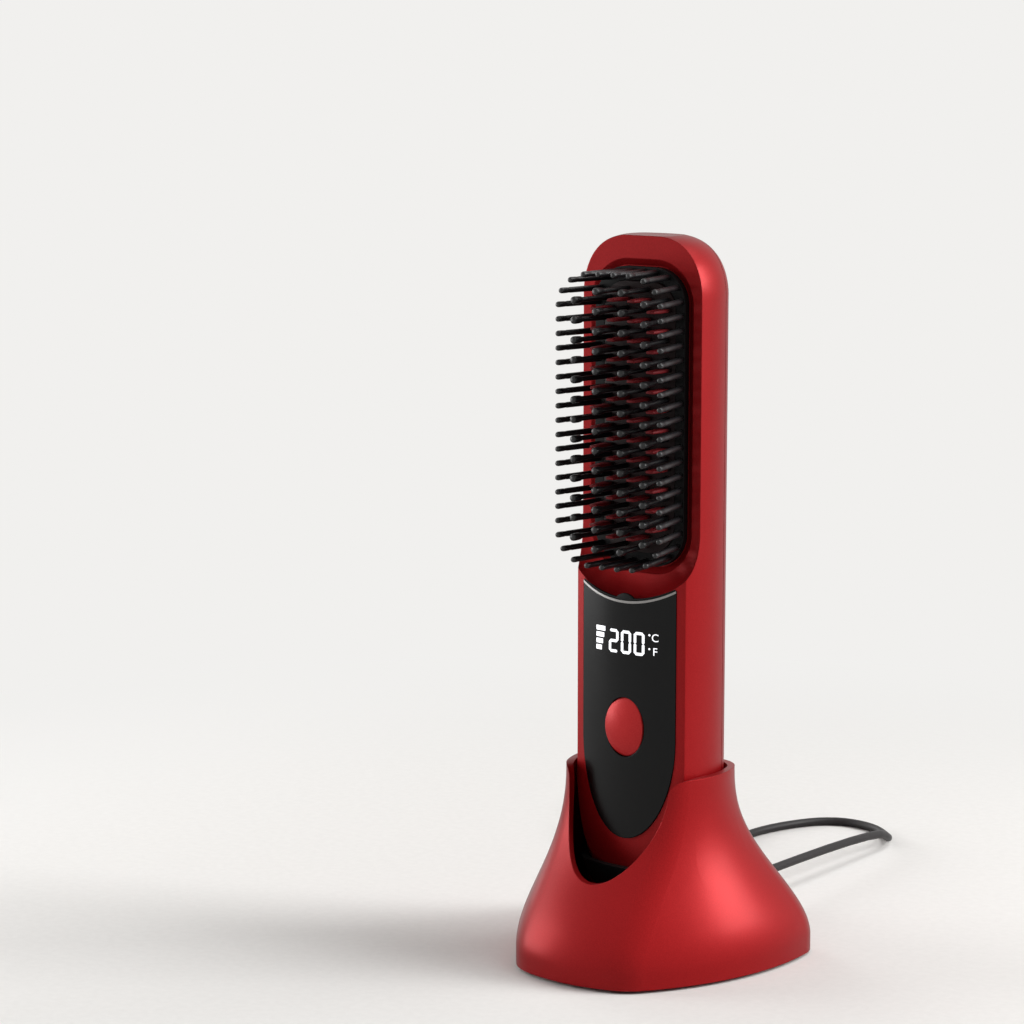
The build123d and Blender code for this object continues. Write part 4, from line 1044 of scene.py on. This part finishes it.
@dataclass
class PlugMouldings:
    """The overmoulded grips of both plugs, each with its collar and ribbed strain relief."""

    dock_start: Point = (0.0, 43.6, 11.5)
    dock_grip: Point = (12.0, 21.0, 6.6)
    charger_start: Point = (-109.95, 135.1, 3.95)
    charger_grip: Point = (15.6, 24.0, 7.8)
    body_share: float = 0.84
    collar_inset: float = 0.14
    collar_taper: Spot = (0.86, 0.9)
    rounding: float = 0.9
    recess_margin: float = 0.5
    recess_flank: float = 0.2
    recess_depth: float = 0.3
    relief_length: float = 6.0
    relief_radius: float = 2.6
    relief_wall: float = 0.12
    relief_foot: float = 1.2
    collar_end: float = 0.9
    rings: int = 3
    ring_pitch: float = 1.6
    ring_end: float = 1.5
    ring_taper: float = 0.22
    groove: float = 0.45
    flank: float = 0.05
    cable_radius: float = 1.55
    sides: int = 32

    def grip(self, size: Point) -> Piece:
        """Model a grip along +Y from y = 0: a rounded block with a stepped collar at its far end.

        Args:
            size: Width, length and height in millimetres, the collar included.

        Returns:
            The grip's mesh.
        """
        width, length, height = (value * MM for value in size)
        body = length * self.body_share
        deselect()
        bpy.ops.mesh.primitive_cube_add(
            size=1.0, location=(0.0, body / 2, 0.0), scale=(width, body, height)
        )
        piece = bpy.context.object
        settle(piece)
        edit_faces(piece, lambda centre, normal: normal.y > SQUARE_ON)
        bpy.ops.mesh.inset(thickness=height * self.collar_inset)
        extrude(0.0, length - body, 0.0)
        bpy.ops.transform.resize(value=(self.collar_taper[0], 1.0, self.collar_taper[1]))
        deselect()
        rounded(piece, self.rounding, 4)
        # Only the two broad flats lie this level, and they take the thumb's shallow recess.
        edit_faces(piece, lambda centre, normal: abs(normal.z) > 0.99 and centre.y < body)
        bpy.ops.mesh.inset(thickness=self.recess_margin * MM)
        bpy.ops.mesh.inset(thickness=self.recess_flank * MM, depth=-self.recess_depth * MM)
        deselect()
        smooth(piece, 35.0)
        return piece

    def relief(self) -> Piece:
        """Model the strain relief along +Y from y = 0: rings that step down to the cable.

        Returns:
            The relief's mesh.
        """
        low = self.cable_radius + self.relief_wall
        foot = [(low, -self.relief_foot), (self.relief_radius, self.flank - self.relief_foot)]
        profile = [*foot, (self.relief_radius, self.collar_end)]
        for ring in range(self.rings):
            radius = self.relief_radius - self.ring_taper * (ring + 1)
            start = self.collar_end + self.flank + self.ring_pitch * ring
            profile += [
                (low, start), (low, start + self.groove),
                (radius, start + self.groove + self.flank), (radius, start + self.ring_end),
            ]
        profile += [
            (low, self.relief_length - self.relief_wall),
            (self.cable_radius, self.relief_length - self.flank),
        ]
        piece = drawn_up(self.sides, profile)
        piece.rotation_euler = (-math.pi / 2, 0.0, 0.0)
        settle(piece)
        smooth(piece, 35.0)
        return piece

    def plug(self, name: str, size: Point, start: Point, turned: bool) -> Piece:
        """Model one plug's moulding: its grip, with the strain relief behind it.

        Args:
            name: The piece's name.
            size: The grip's width, length and height in millimetres.
            start: The end of the moulding that is nearest to the front, in millimetres.
            turned: Whether the cable leaves towards the front.

        Returns:
            The moulding, in place.
        """
        x, y, z = start
        grip_y, relief_y = y, y + size[1]
        if turned:
            grip_y, relief_y = y + self.relief_length + size[1], y + self.relief_length
        parts = [self.grip(size), self.relief()]
        for part, part_y in zip(parts, (grip_y, relief_y)):
            part.rotation_euler = (0.0, 0.0, math.pi if turned else 0.0)
            part.location = (x * MM, part_y * MM, z * MM)
            settle(part)
        return joined(name, parts)

    def build(self) -> tuple[Piece, Piece]:
        """Make and dress both plugs' mouldings.

        Returns:
            The dock's plug and the charger's plug.
        """
        dock_plug = self.plug("lead_plug_moulding", self.dock_grip, self.dock_start, False)
        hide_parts("usb_c_plug")
        charger_plug = self.plug(
            "charger_plug_moulding", self.charger_grip, self.charger_start, True
        )
        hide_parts("usb_a_plug")
        for piece in (dock_plug, charger_plug):
            dress(piece, PLUG_MOULDING, Body.DOCK)
        return dock_plug, charger_plug


@dataclass
class Lead:
    """The cable: straight out of its plug, down to the table, and put away in a round coil.

    The spline cuts inside its points' corners, so the coil's points lie a little further out.
    """

    diameter: float = 3.1
    turn_gap: float = 1.1
    middle_diameters: float = 11.0
    turns_a_layer: int = 3
    coil_x: float = -76.0
    coil_y: float = 132.0
    floor_gap: float = 0.05
    charger: Point = PlugMouldings.charger_grip
    charger_clearance: float = 1.5
    start: Point = (0.0, 70.6, 11.5)
    length: float = 0.896
    steps: int = 8
    corner_allowance: float = 1.01

    def coil(self) -> list[Point]:
        """Work out the coil's points: in on the lower layer, out again on the upper one.

        Returns:
            The points in millimetres.
        """
        pitch = self.diameter + self.turn_gap
        half_turns = 2 * self.turns_a_layer
        outer = self.diameter * self.middle_diameters / 2 + half_turns / 2 * pitch / 2
        lower = self.diameter / 2 + self.floor_gap
        ends = []
        for step in range(2 * half_turns + 2):
            inward, outward = min(step, half_turns), max(step - half_turns - 1, 0)
            height = lower if step <= half_turns else lower + pitch
            ends.append((outer + (outward - inward) * pitch / 2, height))
        last = outer + (self.charger[0] + self.diameter) / 2 + self.charger_clearance
        ends[-1] = (last, self.charger[2] / 2 + self.floor_gap)
        points = []
        for step, ((r0, z0), (r1, z1)) in enumerate(zip(ends, ends[1:])):
            for part in range(self.steps):
                share = part / self.steps
                radius = (r0 + (r1 - r0) * share) * self.corner_allowance
                turn = math.pi * (step + share)
                x = self.coil_x + radius * math.cos(turn)
                y = self.coil_y - radius * math.sin(turn)
                points.append((x, y, z0 + (z1 - z0) * share))
        x, z = self.coil_x - last, ends[-1][1]
        return [*points, (x, self.coil_y, z), (x, self.coil_y + self.diameter, z)]

    def route(self) -> list[Point]:
        """List the cable's points from the plug to the charger's plug, in millimetres."""
        lower = self.diameter / 2 + self.floor_gap
        coil = self.coil()
        entry_x = coil[0][0]
        return [
            self.start,
            (0.0, 154.0, 10.6),
            (-3.5, 172.0, lower),
            (-20.0, 187.0, lower),
            (-40.0, 186.0, lower),
            (entry_x, 160.0, lower),
            (entry_x, 135.1, lower),
            *coil,
        ]

    def build(self, plugs: Sequence[Piece]) -> None:
        """Args:
            plugs: The pieces on the cable. Not used.
        """
        data = bpy.data.curves.new("lead_cable", "CURVE")
        data.dimensions = "3D"
        data.bevel_depth = self.diameter / 2 * MM
        data.bevel_resolution = 5
        data.resolution_u = 6
        data.use_fill_caps = True
        spline = data.splines.new("NURBS")
        points = self.route()
        spline.points.add(len(points) - 1)
        for place, point in zip(spline.points, points):
            place.co = (*(value * MM for value in point), 1.0)
        spline.order_u = 3
        spline.use_endpoint_u = True
        spline.use_smooth = True
        cable = bpy.data.objects.new("lead_cable", data)
        bpy.context.collection.objects.link(cable)
        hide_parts("cable_tube", "cable_coil")
        dress(cable, CABLE_JACKET, Body.DOCK)


@dataclass(frozen=True)
class Lamp:
    """A soft lamp. Its bearing goes from the front towards the right, in degrees.

    Its height, its distance along the floor and its size are metres, its power is watts.
    """

    name: str
    bearing: float
    height: float
    away: float
    size: Spot
    energy: float

    def hang(self, aim: Vector) -> None:
        """Hang the lamp so that it points at the aim."""
        data = bpy.data.lights.new(self.name, "AREA")
        data.shape = "RECTANGLE"
        data.size, data.size_y = self.size
        data.energy = self.energy
        lamp = bpy.data.objects.new(self.name, data)
        bpy.context.collection.objects.link(lamp)
        turn = math.radians(self.bearing)
        place = Vector((self.away * math.sin(turn), -self.away * math.cos(turn), self.height))
        lamp.location = place
        lamp.rotation_euler = (aim - place).to_track_quat("-Z", "Y").to_euler()


@dataclass
class Studio:
    """Pale floor, soft light and the camera of the photograph, in metres and degrees."""

    floor_size: float = 24.0
    bounce_colour: str = "9A9896"
    backdrop_colour: str = "F1F0EE"
    room_colour: str = "FFFFFF"
    near: float = 0.2
    far: float = 0.5
    heading: float = 36.5
    pitch: float = 8.96
    distance: float = 1.049
    height: float = 0.315
    offset: float = 0.0463
    sensor: float = 36.0
    lens: float = 113.2734375
    clip: Spot = (0.05, 50.0)
    ambient: float = 0.18
    aim: Point = (0.0, 0.0, 0.12)
    lamps: tuple[Lamp, ...] = (
        Lamp("key_lamp", bearing=118.0, height=0.6, away=1.1, size=(0.5, 0.6), energy=12.8),
        Lamp("side_lamp", bearing=-112.0, height=0.4, away=0.9, size=(0.5, 0.6), energy=2.6),
        Lamp("strip_lamp", bearing=-64.0, height=0.24, away=0.8, size=(0.42, 0.48), energy=3.7),
        Lamp("top_lamp", bearing=124.0, height=1.3, away=0.62, size=(0.6, 0.6), energy=7.8),
    )

    def shown_to(self, tree: Tree) -> Socket:
        """Tell camera, glossy and transmission rays from those that light the object.

        Args:
            tree: The node tree to add the nodes to.

        Returns:
            A socket that is 1 for those rays.
        """
        path = add_node(tree, "LightPath")
        seen = path.outputs["Is Camera Ray"]
        for name in ("Is Glossy Ray", "Is Transmission Ray"):
            either = {0: seen, 1: path.outputs[name]}
            seen = add_node(tree, "Math", {"operation": "MAXIMUM"}, links=either).outputs["Value"]
        return seen

    def floor(self) -> None:
        """Lay the floor: matt paper that keeps the shadow and fades into the backdrop.

        Rays that light the object meet a darker paper, so that it throws little light back.
        """
        deselect()
        bpy.ops.mesh.primitive_plane_add(size=self.floor_size, location=(0.0, 0.0, 0.0))
        floor = bpy.context.object
        floor.name = "studio_floor"
        material = FLOOR_PAPER.material()
        tree = material.node_tree
        surface = tree.nodes["Material Output"].inputs["Surface"]
        painted = tree.nodes["Principled BSDF"].inputs["Base Color"]
        shown = self.shown_to(tree)
        tone = add_node(
            tree, "MixRGB", values={"Color1": srgb(self.bounce_colour)},
            links={"Fac": shown, "Color2": painted.links[0].from_socket},
        )
        tree.links.new(tone.outputs["Color"], painted)
        place = add_node(tree, "TexCoord").outputs["Object"]
        reach = add_node(tree, "VectorMath", {"operation": "LENGTH"}, links={"Vector": place})
        fade = add_node(
            tree, "MapRange", {"interpolation_type": "SMOOTHSTEP"},
            {"From Min": self.near, "From Max": self.far}, {"Value": reach.outputs["Value"]},
        )
        share = add_node(
            tree, "Math", {"operation": "MULTIPLY"}, links={0: fade.outputs["Result"], 1: shown}
        )
        paper = add_node(tree, "Emission", values={"Color": srgb(self.backdrop_colour)})
        mix = add_node(
            tree,
            "MixShader",
            links={
                "Fac": share.outputs["Value"], 1: surface.links[0].from_socket,
                2: paper.outputs["Emission"],
            },
        )
        tree.links.new(mix.outputs["Shader"], surface)
        floor.data.materials.append(material)

    def world(self) -> None:
        """Light the room softly, and show the pale backdrop to the camera and to gloss."""
        world = bpy.data.worlds.new("studio_world")
        bpy.context.scene.world = world
        world.use_nodes = True
        tree = world.node_tree
        tree.nodes.clear()
        room = add_node(
            tree, "Background", values={"Color": srgb(self.room_colour), "Strength": self.ambient}
        )
        backdrop = add_node(tree, "Background", values={"Color": srgb(self.backdrop_colour)})
        mix = add_node(
            tree,
            "MixShader",
            links={
                "Fac": self.shown_to(tree), 1: room.outputs["Background"],
                2: backdrop.outputs["Background"],
            },
        )
        add_node(tree, "OutputWorld", links={"Surface": mix.outputs["Shader"]})

    def camera(self) -> None:
        """Set the camera where the photograph was taken from."""
        turn, tilt = math.radians(self.heading), math.radians(self.pitch)
        data = bpy.data.cameras.new("photo_camera")
        data.sensor_width = self.sensor
        data.lens = self.lens
        data.clip_start, data.clip_end = self.clip
        camera = bpy.data.objects.new("photo_camera", data)
        bpy.context.collection.objects.link(camera)
        camera.location = (
            self.distance * math.sin(turn) - self.offset * math.cos(turn),
            AXIS_Y * MM - self.distance * math.cos(turn) - self.offset * math.sin(turn),
            self.height,
        )
        camera.rotation_euler = (math.pi / 2 - tilt, 0.0, turn)
        bpy.context.scene.camera = camera

    def build(self) -> None:
        """Set up floor, lamps, world and camera."""
        self.floor()
        for lamp in self.lamps:
            lamp.hang(Vector(self.aim))
        self.world()
        self.camera()
        bpy.context.scene.view_settings.view_transform = "Standard"


def main() -> None:
    """Build and dress every piece, then the studio."""
    logging.basicConfig(level=logging.INFO, format="%(name)s: %(message)s")
    Housings().dress()
    Comb().build()
    Display().build()
    PanelRim().build()
    plugs = PlugMouldings().build()
    Lead().build(plugs)
    Studio().build()


if __name__ == "__main__":
    main()
